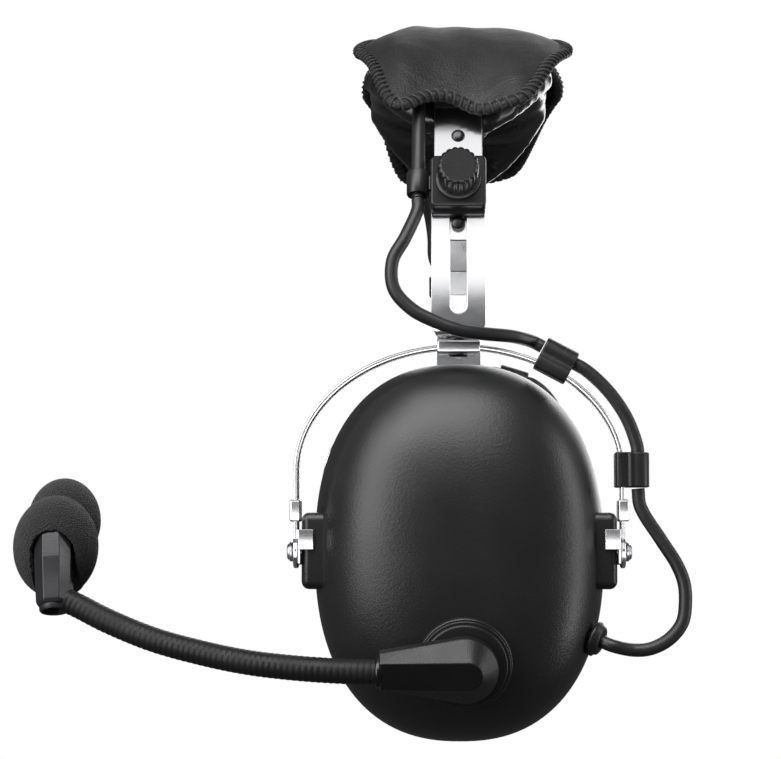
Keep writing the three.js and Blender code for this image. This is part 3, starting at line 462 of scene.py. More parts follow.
def crown_point(turn):
    """A point of the cable's arc over the head, turned up from the left."""
    reach = 68 if turn < 30 else 67.2
    return np.array([CABLE_X, -reach * math.cos(math.radians(turn)),
                     CROWN_Z + reach * math.sin(math.radians(turn))])


over = [ring_end("left", -RING_HALF - 1), ring_end("left", RING_HALF)]
over += [crown_point(turn) for turn in (24, 33, 42, 52, 63, 76, 90, 104, 117, 128, 138, 147)]
over += [on_clamp(*p) * (1, -1, 1) for p in ((-11.2, 17, 5), (-9.8, 9.5, 8.3), (-9, 3, 8.5),
                                             (-8.8, -3.5, 8.5))]
over += [ring_end("right", RING_HALF + up) * (1, -1, 1) for up in (2, 0)]
piece("cable_over_head", *tube(smooth_path(over, 6), CABLE_RADIUS), CABLE, "headband",
      ("crossover_cable",))


# ---- Adjusting straps -----------------------------------------------------------------------------
# Polished spring steel, 15.6 mm wide, curved to the headband's leg, with a long slot for the clamp
# screw. The foot narrows, then bends in under itself as the tab that carries the swivel rivet.
def chrome_finish():
    """Plated steel: near-mirror, with faint lengthwise polishing lines and soft handling marks."""
    made = coat("polished_steel", "chrome", (0.66, 0.66, 0.67), 0.2, metallic=1.0, patch=(35, 0.05))
    tree = made.node_tree
    shader = tree.nodes["Principled BSDF"]
    where = tree.nodes.new("ShaderNodeTexCoord")
    stretch = tree.nodes.new("ShaderNodeMapping")
    stretch.inputs["Scale"].default_value = (9000, 150, 150)
    lines = tree.nodes.new("ShaderNodeTexNoise")
    lines.inputs["Scale"].default_value = 1.0
    bump = tree.nodes.new("ShaderNodeBump")
    bump.inputs["Distance"].default_value = 0.00001
    tree.links.new(where.outputs["Object"], stretch.inputs["Vector"])
    tree.links.new(stretch.outputs["Vector"], lines.inputs["Vector"])
    tree.links.new(lines.outputs["Fac"], bump.inputs["Height"])
    tree.links.new(bump.outputs["Normal"], shader.inputs["Normal"])
    return made


CHROME = chrome_finish()
CHROME["polished"] = True
STEEL = coat("plain_steel", "steel", (0.42, 0.42, 0.43), 0.32, metallic=1.0, patch=(200, 0.08))
STEEL["polished"] = True
BLACK_STEEL = coat("blacked_steel", "steel", (0.05, 0.05, 0.052), 0.35, metallic=1.0, patch=(200, 0.08))


def rounded(obj, width, segments=3, angle=35):
    """Rounds the sharp edges of a piece by a width in millimetres."""
    bevel = obj.modifiers.new("edges", "BEVEL")
    bevel.width = width * MM
    bevel.segments = segments
    bevel.limit_method = "ANGLE"
    bevel.angle_limit = math.radians(angle)
    bevel.harden_normals = True
    bevel.use_clamp_overlap = False
    return obj


STRAP_HALF, STRAP_WIDTH, TAB_WIDTH = 0.7, 15.6, 12.0
STRAP_TOP, SLOT_LOW, SLOT_HIGH = 52.4, 7.85, 45.8
SLOT_RADIUS, BEND_RADIUS, TAB_END = 2.35, 1.5, -10.4
BEND_TOP = 1.4
FOOT_TOP = 3.0


def strap_line(s):
    """Y, Z and the outward normal of the strap's middle at a run s up from its foot: the leg's arc,
    and below it a quarter turn inward and a level tab."""
    s = np.asarray(s, float)
    turn = np.maximum(s, BEND_TOP) / LEG_RADIUS
    arc = leg_point(turn)
    arc_out = np.stack([-np.cos(turn), np.sin(turn)], -1)
    bend = np.clip((BEND_TOP - s) / BEND_RADIUS, 0, math.pi / 2)
    centre = leg_point(BEND_TOP / LEG_RADIUS) + np.array([BEND_RADIUS, 0])
    out = np.stack([-np.cos(bend), -np.sin(bend)], -1)
    tab = np.maximum(BEND_TOP - BEND_RADIUS * math.pi / 2 - s, 0)[..., None] * np.array([1.0, 0.0])
    low = (s < BEND_TOP)[..., None]
    return np.where(low, centre + BEND_RADIUS * out + tab, arc), np.where(low, out, arc_out)


def ray_to_outline(centre, angles, outline):
    """Where rays from a centre at the angles meet a convex outline given by its corners."""
    ways = np.stack([np.cos(angles), np.sin(angles)], 1)
    best = np.full(len(angles), np.inf)
    for a, b in zip(outline, np.roll(outline, -1, axis=0)):
        edge = b - a
        across = ways[:, 0] * edge[1] - ways[:, 1] * edge[0]
        away = a - centre
        with np.errstate(divide="ignore", invalid="ignore"):
            reach = (away[0] * edge[1] - away[1] * edge[0]) / across
            share = (away[0] * ways[:, 1] - away[1] * ways[:, 0]) / across
        hit = (reach > 1e-9) & (share > -1e-6) & (share < 1 + 1e-6)
        best = np.where(hit, np.minimum(best, reach), best)
    return centre + best[:, None] * ways


def strap_walls(flats):
    """Each (flat outline, distance from the middle sheet) as a loop of corners in space."""
    loops = []
    for flat, out in flats:
        yz, normal = strap_line(flat[:, 1])
        loops.append(np.column_stack([flat[:, 0], yz + out * normal]))
    return loops


def slotted_strap():
    """Outline and slot sampled at matching turns: along the slot's sides, and by rays at its ends. The
    foot below the slot is a grid of its own that shares the outline's lowest corners."""
    w = STRAP_WIDTH / 2
    outline = np.array([(w, FOOT_TOP), (w, STRAP_TOP - 2), (w - 2, STRAP_TOP), (2 - w, STRAP_TOP),
                        (-w, STRAP_TOP - 2), (-w, FOOT_TOP)])
    ends = []
    for centre, first in ((SLOT_HIGH, 0.0), (SLOT_LOW, math.pi)):
        corners = np.arctan2(outline[:, 1] - centre, outline[:, 0]) % (2 * math.pi)
        even = np.linspace(first, first + math.pi, 25)
        extra = [c for c in corners if first + 0.02 < c < first + math.pi - 0.02]
        angles = np.sort(np.concatenate([even, extra]))
        middle = np.array([0.0, centre])
        hole = middle + SLOT_RADIUS * np.stack([np.cos(angles), np.sin(angles)], 1)
        ends.append((hole, ray_to_outline(middle, angles, outline)))
    run = np.linspace(SLOT_LOW, SLOT_HIGH, 22)[1:-1]
    up = [np.stack([np.full(20, x), run], 1) for x in (SLOT_RADIUS, w)]
    down = [np.stack([np.full(20, -x), run[::-1]], 1) for x in (SLOT_RADIUS, w)]
    hole = np.vstack([ends[0][0], down[0], ends[1][0], up[0]])
    edge = np.vstack([ends[0][1], down[1], ends[1][1], up[1]])
    n = len(edge)
    loops = strap_walls(((edge, STRAP_HALF), (hole, STRAP_HALF), (hole, -STRAP_HALF),
                         (edge, -STRAP_HALF)))
    low = np.abs(edge[:, 1] - FOOT_TOP) < 1e-6
    faces = grid_faces(4, n, True, True).tolist()
    faces = [f for f in faces if not (min(f) < n and max(f) >= 3 * n and low[f[0] % n] and low[f[2] % n])]
    across = edge[low][:, 0]
    rows = np.concatenate([np.linspace(FOOT_TOP, -1.5, 16), np.linspace(-1.5, TAB_END, 6)[1:]])
    half = np.interp(rows, [-1.5, 2.4], [TAB_WIDTH / 2, w])
    sheets = []
    for out in (STRAP_HALF, -STRAP_HALF):
        yz, normal = strap_line(rows)
        flat = (yz + out * normal)[:, None] + np.zeros((1, len(across), 1))
        sheets.append(np.concatenate([(half[:, None] * across / w)[..., None], flat], -1))
    foot = np.concatenate([sheets[0], sheets[1][:, ::-1]], 1)
    m = foot.shape[1]
    foot_faces = grid_faces(len(rows), m,
                            wrap_cols=True).tolist() + [list(range(m * (len(rows) - 1), m * len(rows)))]
    return np.vstack(loops + [foot.reshape(-1,
                                           3)]), faces + [[i + 4 * n for i in f] for f in foot_faces]


for side in SIDES:
    strap = piece(f"{side}_slotted_strap", *slotted_strap(), CHROME, f"{side}_strap",
                  (f"{side}_adjusting_strap",), side)
    rounded(strap, 0.25, 2, 50)


# ---- Headband spring ------------------------------------------------------------------------------
# One strip of plated spring steel, 14 mm wide, over the head under the pad. Its tongue ends lie
# behind the straps and carry a guide rivet that runs in the slot; a snap sits above each clamp.
SPRING_OUT, SPRING_THICKNESS, SPRING_HALF_WIDTH = -1.0, 1.2, 7.0
TONGUE_END, GUIDE_AT, SNAP_AT = math.radians(10.5), math.radians(12.3), math.radians(23.4)


def band_line(out, steps=24):
    """Y and Z along the whole band at a distance outside its middle: leg arc, crown arc, leg arc."""
    leg = leg_point(np.linspace(TONGUE_END, LEG_SWEEP, steps), out)
    turn = np.linspace(math.pi - LEG_SWEEP, LEG_SWEEP, 3 * steps)[1:-1]
    crown = np.stack([np.cos(turn), np.sin(turn)], 1) * (CROWN_RADIUS + out) + (0, CROWN_Z)
    return np.vstack([leg, crown, leg[::-1] * (-1, 1)])


outer, inner = band_line(SPRING_OUT), band_line(SPRING_OUT - SPRING_THICKNESS)
run = np.concatenate([[0], np.cumsum(np.linalg.norm(np.diff(outer, axis=0), axis=1))])
from_end = np.minimum(run, run[-1] - run)
half = SPRING_HALF_WIDTH * np.sqrt(1 - (1 - np.clip(from_end / 4, 0.05, 1)) ** 2)
corners = [np.column_stack([sign * half, line]) for sign,
           line in ((-1, outer), (1, outer), (1, inner), (-1, inner))]
verts = np.stack(corners, 1)
faces = grid_faces(len(outer), 4, wrap_cols=True).tolist()
faces += [[0, 1, 2, 3], [4 * len(outer) - k for k in (4, 3, 2, 1)]]
rounded(piece("sprung_band", verts, faces, CHROME, "headband", ("headband_spring",)), 0.2, 2, 50)


def turned(profile, at, axis, sides=40):
    """A turned form: (radius, height) pairs revolved about an axis that starts at a point."""
    axis = unit(np.asarray(axis, float))
    n = unit(np.cross(axis, (1.0, 0, 0) if abs(axis[0]) < 0.9 else (0, 1.0, 0)))
    b = np.cross(axis, n)
    a = np.linspace(0, 2 * math.pi, sides, endpoint=False)
    ring = np.cos(a)[:, None] * n + np.sin(a)[:, None] * b
    p = np.asarray(profile, float)
    verts = np.asarray(at) + p[:, :1, None] * ring + p[:, 1:, None] * axis
    return verts.reshape(-1, 3), grid_faces(len(p), sides, wrap_cols=True)


def on_leg(turn, out=0.0, x=0.0):
    """A point on the leg as X, Y, Z, and the outward direction there."""
    y, z = leg_point(turn, out)
    return np.array([x, y, z]), np.array([0, -math.cos(turn), math.sin(turn)])


def rivet_head(radius, height, foot=0.0):
    """A low domed head: a quarter ellipse of the radius and height, standing on its foot."""
    a = np.linspace(0, math.pi / 2, 7)
    dome = np.stack([radius * np.cos(a), foot + height * np.sin(a)], 1)
    return np.vstack([[0, 0], [radius, 0], dome, [[0, foot + height]]])


for side in SIDES:
    guide, out = on_leg(GUIDE_AT, SPRING_OUT)
    piece(f"{side}_guide_rivet", *turned(rivet_head(2.0, 0.7, 1.5), guide, out, 28), BLACK_STEEL,
          "headband", (), side)
    snap, out = on_leg(SNAP_AT, SPRING_OUT)
    piece(f"{side}_snap", *turned(rivet_head(2.0, 0.8, 0.1), snap, out, 28), BLACK_STEEL, "headband",
          (), side)


# ---- Clamp: block, nut plate, knob and cable ring --------------------------------------------------
# A black anodised block presses the strap on the spring. The knob is turned from bar, fluted for the
# fingers, and its screw ends in a nut plate behind. A rubber ring on the block guides the cable.
ANODISED = coat("black_anodised", "black_metal", (0.02, 0.02, 0.021), 0.28, metallic=0.6,
                grain=("noise", 3000, 0.00003), patch=(120, 0.08))
ANODISED["polished"] = True
RUBBER = coat("moulded_rubber", "black_rubber", (0.011, 0.011, 0.012), 0.4,
              grain=("noise", 1800, 0.00003), patch=(90, 0.1))


def rounded_rectangle(width, height, radius, steps=5):
    """The outline of a rectangle about the origin, with quarter-circle corners."""
    turns = np.linspace(0, math.pi / 2, steps)
    parts = []
    for k, (sx, sy) in enumerate(((1, 1), (-1, 1), (-1, -1), (1, -1))):
        a = turns + k * math.pi / 2
        corner = np.array([sx * (width / 2 - radius), sy * (height / 2 - radius)])
        parts.append(corner + radius * np.stack([np.cos(a), np.sin(a)], 1))
    return np.vstack(parts)


def plate(outline, low, high, place):
    """A flat plate: the outline at two heights, each mapped into space by place(a, b, height)."""
    n = len(outline)
    verts = np.vstack([place(outline[:, 0], outline[:, 1], np.full(n, h)) for h in (low, high)])
    return verts, lidded(2, n)


KNOB_RADIUS, KNOB_LOBES, KNOB_FLUTE, COLLAR_RADIUS = 5.6, 18, 0.27, 6.5


def fluted_knob():
    """Rings of radius r(h) (1 + f(h) cos(lobes a)): collar, fluted grip, chamfer, and a turned face."""
    rows = [(2.0, -5.4, 0), (2.0, 6.3, 0), (COLLAR_RADIUS, 6.3, 0), (COLLAR_RADIUS, 7.2, 0),
            (COLLAR_RADIUS - 0.3, 7.5, 0),
            (KNOB_RADIUS, 7.6, 0), (KNOB_RADIUS, 8.0, 1), (KNOB_RADIUS, 15.0, 1),
            (KNOB_RADIUS - 0.15, 15.5, 0.8),
            (KNOB_RADIUS - 0.6, 15.9, 0.1), (KNOB_RADIUS - 0.9, 16.0, 0)]
    rows += [(KNOB_RADIUS - 1.0 - 0.42 * i, 15.9 + 0.1 * (i % 2), 0) for i in range(1, 10)]
    a = np.linspace(0, 2 * math.pi, 10 * KNOB_LOBES, endpoint=False)
    wave = np.abs(np.cos(KNOB_LOBES * a / 2)) ** 0.8 * 2 - 1
    verts = [np.broadcast_to(on_clamp(0, 0, rows[0][1]), (len(a), 3))]
    for radius, height, flute in rows:
        r = radius + flute * KNOB_FLUTE * wave
        verts.append(on_clamp(r * np.cos(a), r * np.sin(a), height))
    verts.append(np.broadcast_to(on_clamp(0, 0, 15.95), (len(a), 3)))
    return np.vstack(verts), grid_faces(len(verts), len(a), wrap_cols=True)


block_outline = rounded_rectangle(16, 16, 1.4)
for side in SIDES:
    block = piece(f"{side}_clamp_body", *plate(block_outline, 1.05, 5.9, on_clamp), ANODISED,
                  "headband", (f"{side}_clamp_block",), side)
    rounded(block, 0.9, 3)
    lip = rounded_rectangle(15.4, 17.6, 0.8) - (0, 0.3)
    rounded(piece(f"{side}_clamp_lip", *plate(lip, 1.0, 2.6, on_clamp), RUBBER, "headband", (), side),
            0.3, 2)
    nut = piece(f"{side}_clamp_nut", *plate(rounded_rectangle(15, 13, 1.2), -6, -2.6, on_clamp), STEEL,
                "headband", (f"{side}_clamp_nut_plate",), side)
    rounded(nut, 0.5, 2)
    knob = piece(f"{side}_fluted_knob", *fluted_knob(), ANODISED, f"{side}_knob",
                 (f"{side}_adjusting_knob",), side)
    knob.data.set_sharp_from_angle(angle=math.radians(40))
    wall = [(2.15, -RING_HALF), (3.1, -RING_HALF), (3.3, -RING_HALF + 0.4), (3.3, RING_HALF - 0.4),
            (3.1, RING_HALF), (2.15, RING_HALF), (2.15, -RING_HALF)]
    guide_axis = ring_end(side, 1) - ring_end(side, 0)
    piece(f"{side}_cable_guide", *turned(wall, ring_end(side, 0), guide_axis, 32), RUBBER, "headband",
          (f"{side}_cable_ring",), side)
    across, along, low, high = (-9.6, 0, 2.0, 4.2) if side == "left" else (-7, -10.6, 1.8, 5.9)
    arm = rounded_rectangle(4.0, 4.8, 0.8) + (across, along)
    rounded(piece(f"{side}_guide_arm", *plate(arm, low, high, on_clamp), RUBBER, "headband", (), side),
            0.4, 2)


# ---- Stirrups ---------------------------------------------------------------------------------------
# A flat spring band bent over the dome, with an eye at each end on the dome's pivot. A sleeve is
# pressed on its top for the swivel rivet, and a crimped retainer stands over each eye.
BAND_HALF, BAND_WIDTH = 0.7, 6.0
turns = np.radians(np.linspace(-90, 90, 73))
centre_line = [np.array([-BAND_X, STIRRUP_Y, DOME_Z + h]) for h in np.linspace(-1, ARCH_FOOT, 10)[:-1]]
outward = [np.array([-1.0, 0, 0])] * 9
for turn in turns:
    at, along = arch_point(turn)
    centre_line.append(at)
    outward.append(np.array([-along[2], 0, along[0]]))
centre_line += [np.array([BAND_X, STIRRUP_Y, DOME_Z + h]) for h in np.linspace(ARCH_FOOT, -1, 10)[1:]]
outward += [np.array([1.0, 0, 0])] * 9
centre_line, outward = np.array(centre_line), np.array(outward)
section = rounded_rectangle(2 * BAND_HALF, BAND_WIDTH, 0.45, 4)
verts = centre_line[:, None] + section[:, :1] * outward[:, None] + section[:,
        1:] * np.array([0, 1.0, 0])
band_faces = lidded(len(centre_line), len(section))
DOME_MIDDLE = np.array([0, STIRRUP_Y, DOME_Z])
CRIMP_X = (45.0, 48.1)
SLEEVE_HALF = (6.2, 4, 1.85)
EYE = [(0, -0.7), (4.4, -0.7), (4.7, -0.45), (4.7, 0.45), (4.4, 0.7), (0, 0.7)]


def box_plate(x, y, z, corner=0.7):
    """A flat-sided box between the limits of x, y and z, each a pair, with rounded upright corners."""
    outline = rounded_rectangle(y[1] - y[0], z[1] - z[0], corner, 6)
    middle = np.array([(y[0] + y[1]) / 2, (z[0] + z[1]) / 2])
    return plate(outline + middle, x[0], x[1], lambda a, b, h: np.stack([h, a, b], -1))


def clip_outline():
    """Two joined lobes: a squarish one round the band and a round one round the cable."""
    a = np.radians(np.linspace(-22, 202, 25))
    cable = np.stack([3.25 * np.cos(a), CLIP_OUT + 3.25 * np.sin(a)], 1)
    left = np.array([(-3.3, 2.2), (-4.0, 1.7), (-4.3, 1.2), (-4.3, -1.3), (-3.9, -1.95), (-3.2, -2.1)])
    return np.vstack([cable, left, left[::-1] * (-1, 1)])


def clip_at(middle, along):
    """Maps the clip's outline into space: across the band, outward, and along it."""
    normal = np.array([-along[2], 0, along[0]])
    return lambda a, b, h: middle + a[:, None] * np.array([0, 1.0, 0]) + b[:, None] * normal + h[:,
            None] * along


for side in SIDES:
    body = f"{side}_stirrup"
    piece(f"{side}_spring_stirrup", verts, band_faces, CHROME, body, (f"{side}_stirrup_band",), side)
    for place, end in (("front", -1), ("rear", 1)):
        eye = DOME_MIDDLE + (end * BAND_X, 0, 0)
        piece(f"{side}_{place}_eye", *turned(EYE, eye, (end, 0, 0)), CHROME, body, (), side)
        x = sorted((end * CRIMP_X[0], end * CRIMP_X[1]))
        crimp = piece(f"{side}_{place}_crimp",
                      *box_plate(x, (STIRRUP_Y - 3.6, STIRRUP_Y + 3.6), (DOME_Z + 8.5, DOME_Z + 14.8)),
                      CHROME, body, (), side)
        rounded(crimp, 0.6, 3)
    top = DOME_Z + ARCH_FOOT + ARCH_RISE
    half_x, half_y, half_z = SLEEVE_HALF
    sleeve = box_plate((-half_x, half_x), (STIRRUP_Y - half_y, STIRRUP_Y + half_y),
                       (top - half_z, top + half_z))
    sleeve = piece(f"{side}_pressed_sleeve", *sleeve, CHROME, body, (f"{side}_stirrup_sleeve",), side)
    rounded(sleeve, 0.7, 3)
    under = top - 2.15
    rivet = [(0, -0.6), (2.3, -0.6), (2.7, -0.25), (2.7, 0), (1.5, 0), (1.5, 4.35), (3.5, 4.35),
             (3.5, 4.65), (1.5, 4.65), (1.5, 6.5), (2.7, 6.5), (2.4, 7.2), (1.6, 7.6), (0, 7.7)]
    piece(f"{side}_turned_rivet", *turned(rivet, (0, STIRRUP_Y, under), (0, 0, 1)), BLACK_STEEL, body,
          (f"{side}_swivel_rivet",), side)
    clips = [("upper", *arch_point(UPPER_CLIP_TURN[side]))]
    if side == "left":
        clips.append(("lower", DOME_MIDDLE + (BAND_X, 0, LOWER_CLIP_Z), np.array([0, 0, -1.0])))
    for name, middle, way in clips:
        clip = piece(f"{side}_{name}_clip",
                     *plate(clip_outline(), -CLIP_LENGTH / 2, CLIP_LENGTH / 2, clip_at(middle, way)),
                     RUBBER, body, (f"{side}_{name}_cable_clip",), side)
        rounded(clip, 0.5, 3, 50)


# ---- Ear domes --------------------------------------------------------------------------------------
# Tough moulded plastic bowls with a fine satin texture, open toward the ear. Two solid bosses stand at
# the sides for the stirrup's screws, and the left dome has a raised ring where the boom is seated.
SHELL = coat("satin_shell", "shell_plastic", (0.0105, 0.0105, 0.011), 0.36,
             grain=("noise", 1500, 0.00006), patch=(50, 0.04))
HALF_WIDTH, HALF_HEIGHT, OUTLINE_POWER = 41.5, 54.0, 2.35
APEX, WIDEST, RIM, TUCK, DOME_POWER, WALL = 22.0, -8.0, -22.0, 0.03, 2.4, 2.6


def outline_reach(angle):
    """The superellipse's radius at an angle from +X toward +Z: (|c/a|^p + |s/b|^p)^(-1/p)."""
    c, s = np.abs(np.cos(angle)) / HALF_WIDTH, np.abs(np.sin(angle)) / HALF_HEIGHT
    return (c ** OUTLINE_POWER + s ** OUTLINE_POWER) ** (-1 / OUTLINE_POWER)


def around_dome(profile, sides=160):
    """Rings of (share of the outline, inset in mm, depth), placed round the left dome's middle."""
    a = np.linspace(0, 2 * math.pi, sides, endpoint=False)
    p = np.asarray(profile, float)
    reach = p[:, :1] * outline_reach(a) - p[:, 1:2] * (p[:, :1] > 0)
    verts = np.stack([reach * np.cos(a), np.broadcast_to(STIRRUP_Y - p[:, 2:], reach.shape),
                      DOME_Z + reach * np.sin(a)], -1)
    return verts.reshape(-1, 3), grid_faces(len(p), sides, wrap_cols=True)


def bowl_profile(inset, apex, rim, steps=34):
    """From the apex out to the widest ring and down to the rim, as (share, inset, depth)."""
    turn = np.linspace(0, math.pi / 2, steps)
    share = np.sin(turn) ** (2 / DOME_POWER)
    depth = WIDEST + (apex - WIDEST) * np.cos(turn) ** (2 / DOME_POWER)
    dome = np.column_stack([share, inset * np.minimum(1, share * 3), depth])
    low = np.linspace(0, 1, 7)[1:]
    skirt = np.column_stack([1 - TUCK * low ** 2, np.full(6, inset), WIDEST + (rim - WIDEST) * low])
    return np.vstack([dome, skirt])


outside = bowl_profile(0, APEX, RIM + 0.7)
inside = bowl_profile(WALL, APEX - WALL, RIM + 0.7)[::-1]
rim = [(1 - TUCK, 0.25, RIM + 0.15), (1 - TUCK, 0.8, RIM), (1 - TUCK, WALL - 0.8, RIM),
       (1 - TUCK, WALL - 0.25, RIM + 0.15)]
BOOM_SEAT = np.array(joints["boom_turn"]["pos_m"]) / MM
BOOM_AXIS = np.array(joints["boom_turn"]["axis"])
BOSS_X = (33.0, 44.6)
SEAT_RING = [(12.2, -6), (13.2, -6), (13.2, -0.35), (12.9, 0), (12.2, 0), (12.2, -6)]
for side in SIDES:
    dome = piece(f"{side}_dome_shell", *around_dome(np.vstack([outside, rim, inside])), SHELL,
                 f"{side}_dome", (f"{side}_ear_dome",), side)
    for place, end in (("front", -1), ("rear", 1)):
        x = sorted((end * BOSS_X[0], end * BOSS_X[1]))
        boss = piece(f"{side}_{place}_boss",
                     *box_plate(x, (STIRRUP_Y - 6, STIRRUP_Y + 6), (DOME_Z - 10.6, DOME_Z + 11.1), 2.4),
                     SHELL, f"{side}_dome", (), side)
        rounded(boss, 2.2, 5)
rounded(piece("left_boom_seat", *turned(SEAT_RING, BOOM_SEAT, BOOM_AXIS, 64), SHELL, "left_dome"), 0.2,
        2)


# ---- Dome pivots ------------------------------------------------------------------------------------
# Each end of a stirrup turns on a machine screw with a crossed slot. A thin spring clip with a bent tab
# lies between the dome's boss and the eye.
def slotted_head(at, way, radius, height):
    """A rounded screw head with two crossed slots, cut into its height field."""
    n = 64
    r = np.linspace(0, 1, 22)[:, None]
    a = np.linspace(0, 2 * math.pi, n, endpoint=False)[None]
    u, v = radius * r * np.cos(a), radius * r * np.sin(a)
    top = height * (1 - 0.35 * r ** 2) - height * 0.35 * np.clip((r - 0.8) / 0.2, 0, 1) ** 2
    slot = (np.minimum(np.abs(u), np.abs(v)) < 0.22 * radius) & (np.maximum(np.abs(u),
            np.abs(v)) < 0.72 * radius)
    top = np.broadcast_to(top, u.shape) - np.where(slot, height * 0.5, 0)
    verts = np.stack([top, u, v], -1)
    base = np.stack([np.full(n, -0.3), u[-1], v[-1]], -1)
    verts = np.concatenate([verts.reshape(-1, 3), base]) * (way, 1, 1) + at
    faces = grid_faces(23, n, wrap_cols=True).tolist()
    return verts, faces + [list(range(22 * n, 23 * n))]


# A screw's profile as (radius, distance out from the dome's middle), and the clip's leaf and bent tab.
SCREW_FACE = 48.3
SCREW = [(0, 36), (1.3, 36), (1.3, 47.35), (2.6, 47.35), (2.8, 47.5), (2.8, 48.0), (2.5, SCREW_FACE),
         (0, SCREW_FACE)]
HEAD_RADIUS, HEAD_HEIGHT = 2.3, 0.8
LEAF_X, TAB_X = (44.9, 45.4), (41.1, 45.4)
LEAF_Y, TAB_Y = (STIRRUP_Y - 6.6, STIRRUP_Y + 5), (STIRRUP_Y - 6.8, STIRRUP_Y - 6.3)
LEAF_Z, TAB_Z = (DOME_Z - 3.7, DOME_Z + 6.3), (DOME_Z + 0.6, DOME_Z + 6.3)
for side in SIDES:
    for place, end in (("front", -1), ("rear", 1)):
        body = f"{side}_dome"
        piece(f"{side}_{place}_screw", *turned(SCREW, DOME_MIDDLE, (end, 0, 0), 36), STEEL, body,
              (f"{side}_{place}_pivot_screw",), side)
        head = slotted_head(DOME_MIDDLE + (end * SCREW_FACE, 0, 0), end, HEAD_RADIUS, HEAD_HEIGHT)
        piece(f"{side}_{place}_screw_head", *head, STEEL, body, (), side)
        leaf = box_plate(sorted((end * LEAF_X[0], end * LEAF_X[1])), LEAF_Y, LEAF_Z)
        piece(f"{side}_{place}_spring_clip", *leaf, CHROME, body, (f"{side}_{place}_pivot_clip",), side)
        tab = box_plate(sorted((end * TAB_X[0], end * TAB_X[1])), TAB_Y, TAB_Z, 0.22)
        rounded(piece(f"{side}_{place}_clip_tab", *tab, CHROME, body, (), side), 0.2, 2)


# ---- Cable grommet and cord gland --------------------------------------------------------------------
# A flanged rubber sleeve lines the hole where the crossover cable enters each dome. A ribbed gland at
# the bottom of the right dome takes the cord to the radio.
GROMMET = [(1.95, -2.5), (2.6, -2.5), (2.6, 1.7), (4.6, 1.7), (5.0, 2.1), (5.0, 2.9), (4.4, 3.4),
           (4.1, 4.2), (3.6, 4.5), (1.95, 4.5), (1.95, -2.5)]
GLAND_BOTTOM = 208.6
for side in SIDES:
    piece(f"{side}_dome_grommet", *turned(GROMMET, *grommet_point(side, 0)), RUBBER, f"{side}_dome",
          (f"{side}_cable_grommet",), side)
ribs = [(5.5 if k % 2 else 4.7, -GLAND_BOTTOM + 0.6 + 0.8 * k) for k in range(8)]
gland = [(0, -GLAND_BOTTOM), (4.2, -GLAND_BOTTOM), (4.5, -GLAND_BOTTOM + 0.3)] + ribs + [(5.5, -199.8),
        (0, -199.8)]
piece("cord_gland", *turned(gland, (0, STIRRUP_Y, 0), (0, 0, 1)), RUBBER, "right_dome",
      ("right_comm_cord_gland",), "right")


# ---- Boom base and holder ---------------------------------------------------------------------------
# A two-stepped ring is screwed to the dome, and the holder turns in it. The holder is a cast teardrop:
# a level spine with a round end, broad bevels down to upright walls, and a socket for the gooseneck.
SEAT_UP = np.cross(BOOM_AXIS, (-1.0, 0, 0))
CASTING = coat("painted_casting", "black_metal", (0.009, 0.009, 0.0095), 0.36,
               grain=("noise", 2600, 0.00005), patch=(90, 0.05),
               specular=0.4)
SPINE_PAINT = coat("matt_spine", "black_metal", (0.004, 0.004, 0.0042), 0.6,
                   grain=("noise", 2600, 0.00008), patch=(90, 0.05),
                   specular=0.15)


def on_seat(x, up, out):
    """A point of the boom's base: forward or back along x, up the dome, and outward along its axis."""
    x, up, out = (np.asarray(v, float)[..., None] for v in np.broadcast_arrays(x, up, out))
    return BOOM_SEAT + x * np.array([1.0, 0, 0]) + up * SEAT_UP + out * BOOM_AXIS


def teardrop(centre_x, radius, end_x, end_half, steps=40):
    """A round end about (centre_x, 0) and its two tangents to a narrower straight end."""
    reach = centre_x - end_x
    tangent = math.acos(min(1, (radius - end_half) / reach))
    a = np.linspace(math.pi - tangent, tangent - math.pi, steps)
    round_end = np.stack([centre_x + radius * np.cos(a), radius * np.sin(a)], 1)
    return np.vstack([[end_x, end_half], round_end, [end_x, -end_half]])


RING_STEPS = [(11.6, 0.3), (12.7, 0.3), (12.7, 0.9), (12.45, 1.1), (11.9, 1.1), (11.9, 1.6),
              (11.7, 1.9), (11.2, 2.1), (3.4, 2.1), (3.4, 0.3), (11.6, 0.3)]
piece("boom_ring", *turned(RING_STEPS, BOOM_SEAT, BOOM_AXIS, 96), CASTING, "left_dome",
      ("boom_flange",))
walls = [teardrop(0, 9.3, -23.5, 5.1), teardrop(0, 9.3, -23.5, 5.1), teardrop(0, 9.0, -23.3, 4.95),
         teardrop(0.9, 4.3, -23.2, 3.95), teardrop(0.9, 4.0, -23.0, 3.7)]
heights = [2.6, 5.6, 6.0, 9.9, 10.3]
rings = np.array([on_seat(w[:, 0], w[:, 1], h) for w, h in zip(walls, heights)])
holder = piece("cast_holder", rings, lidded(*rings.shape[:2]), CASTING, "boom", ("boom_holder",))
rounded(holder, 0.28, 3, 20)
spine = teardrop(0.9, 3.75, -22.6, 3.45)
piece("holder_spine", *plate(spine, 10.2, 10.36, on_seat), SPINE_PAINT, "boom")
post = [(0, -4), (3.0, -4), (3.0, 2.7), (0, 2.7)]
piece("holder_post", *turned(post, BOOM_SEAT, BOOM_AXIS), CASTING, "boom")
NECK_OUT, NECK_RADIUS = 6.6, 3.4
socket = on_seat(-23.4, 0, NECK_OUT)
FERRULE = [(3.5, -0.6), (4.0, -0.6), (4.2, -0.2), (4.2, 0.6), (3.9, 0.9), (3.5, 1.0), (3.5, -0.6)]
piece("socket_ferrule", *turned(FERRULE, socket, (-1.0, 0, 0), 48), BLACK_STEEL, "boom")


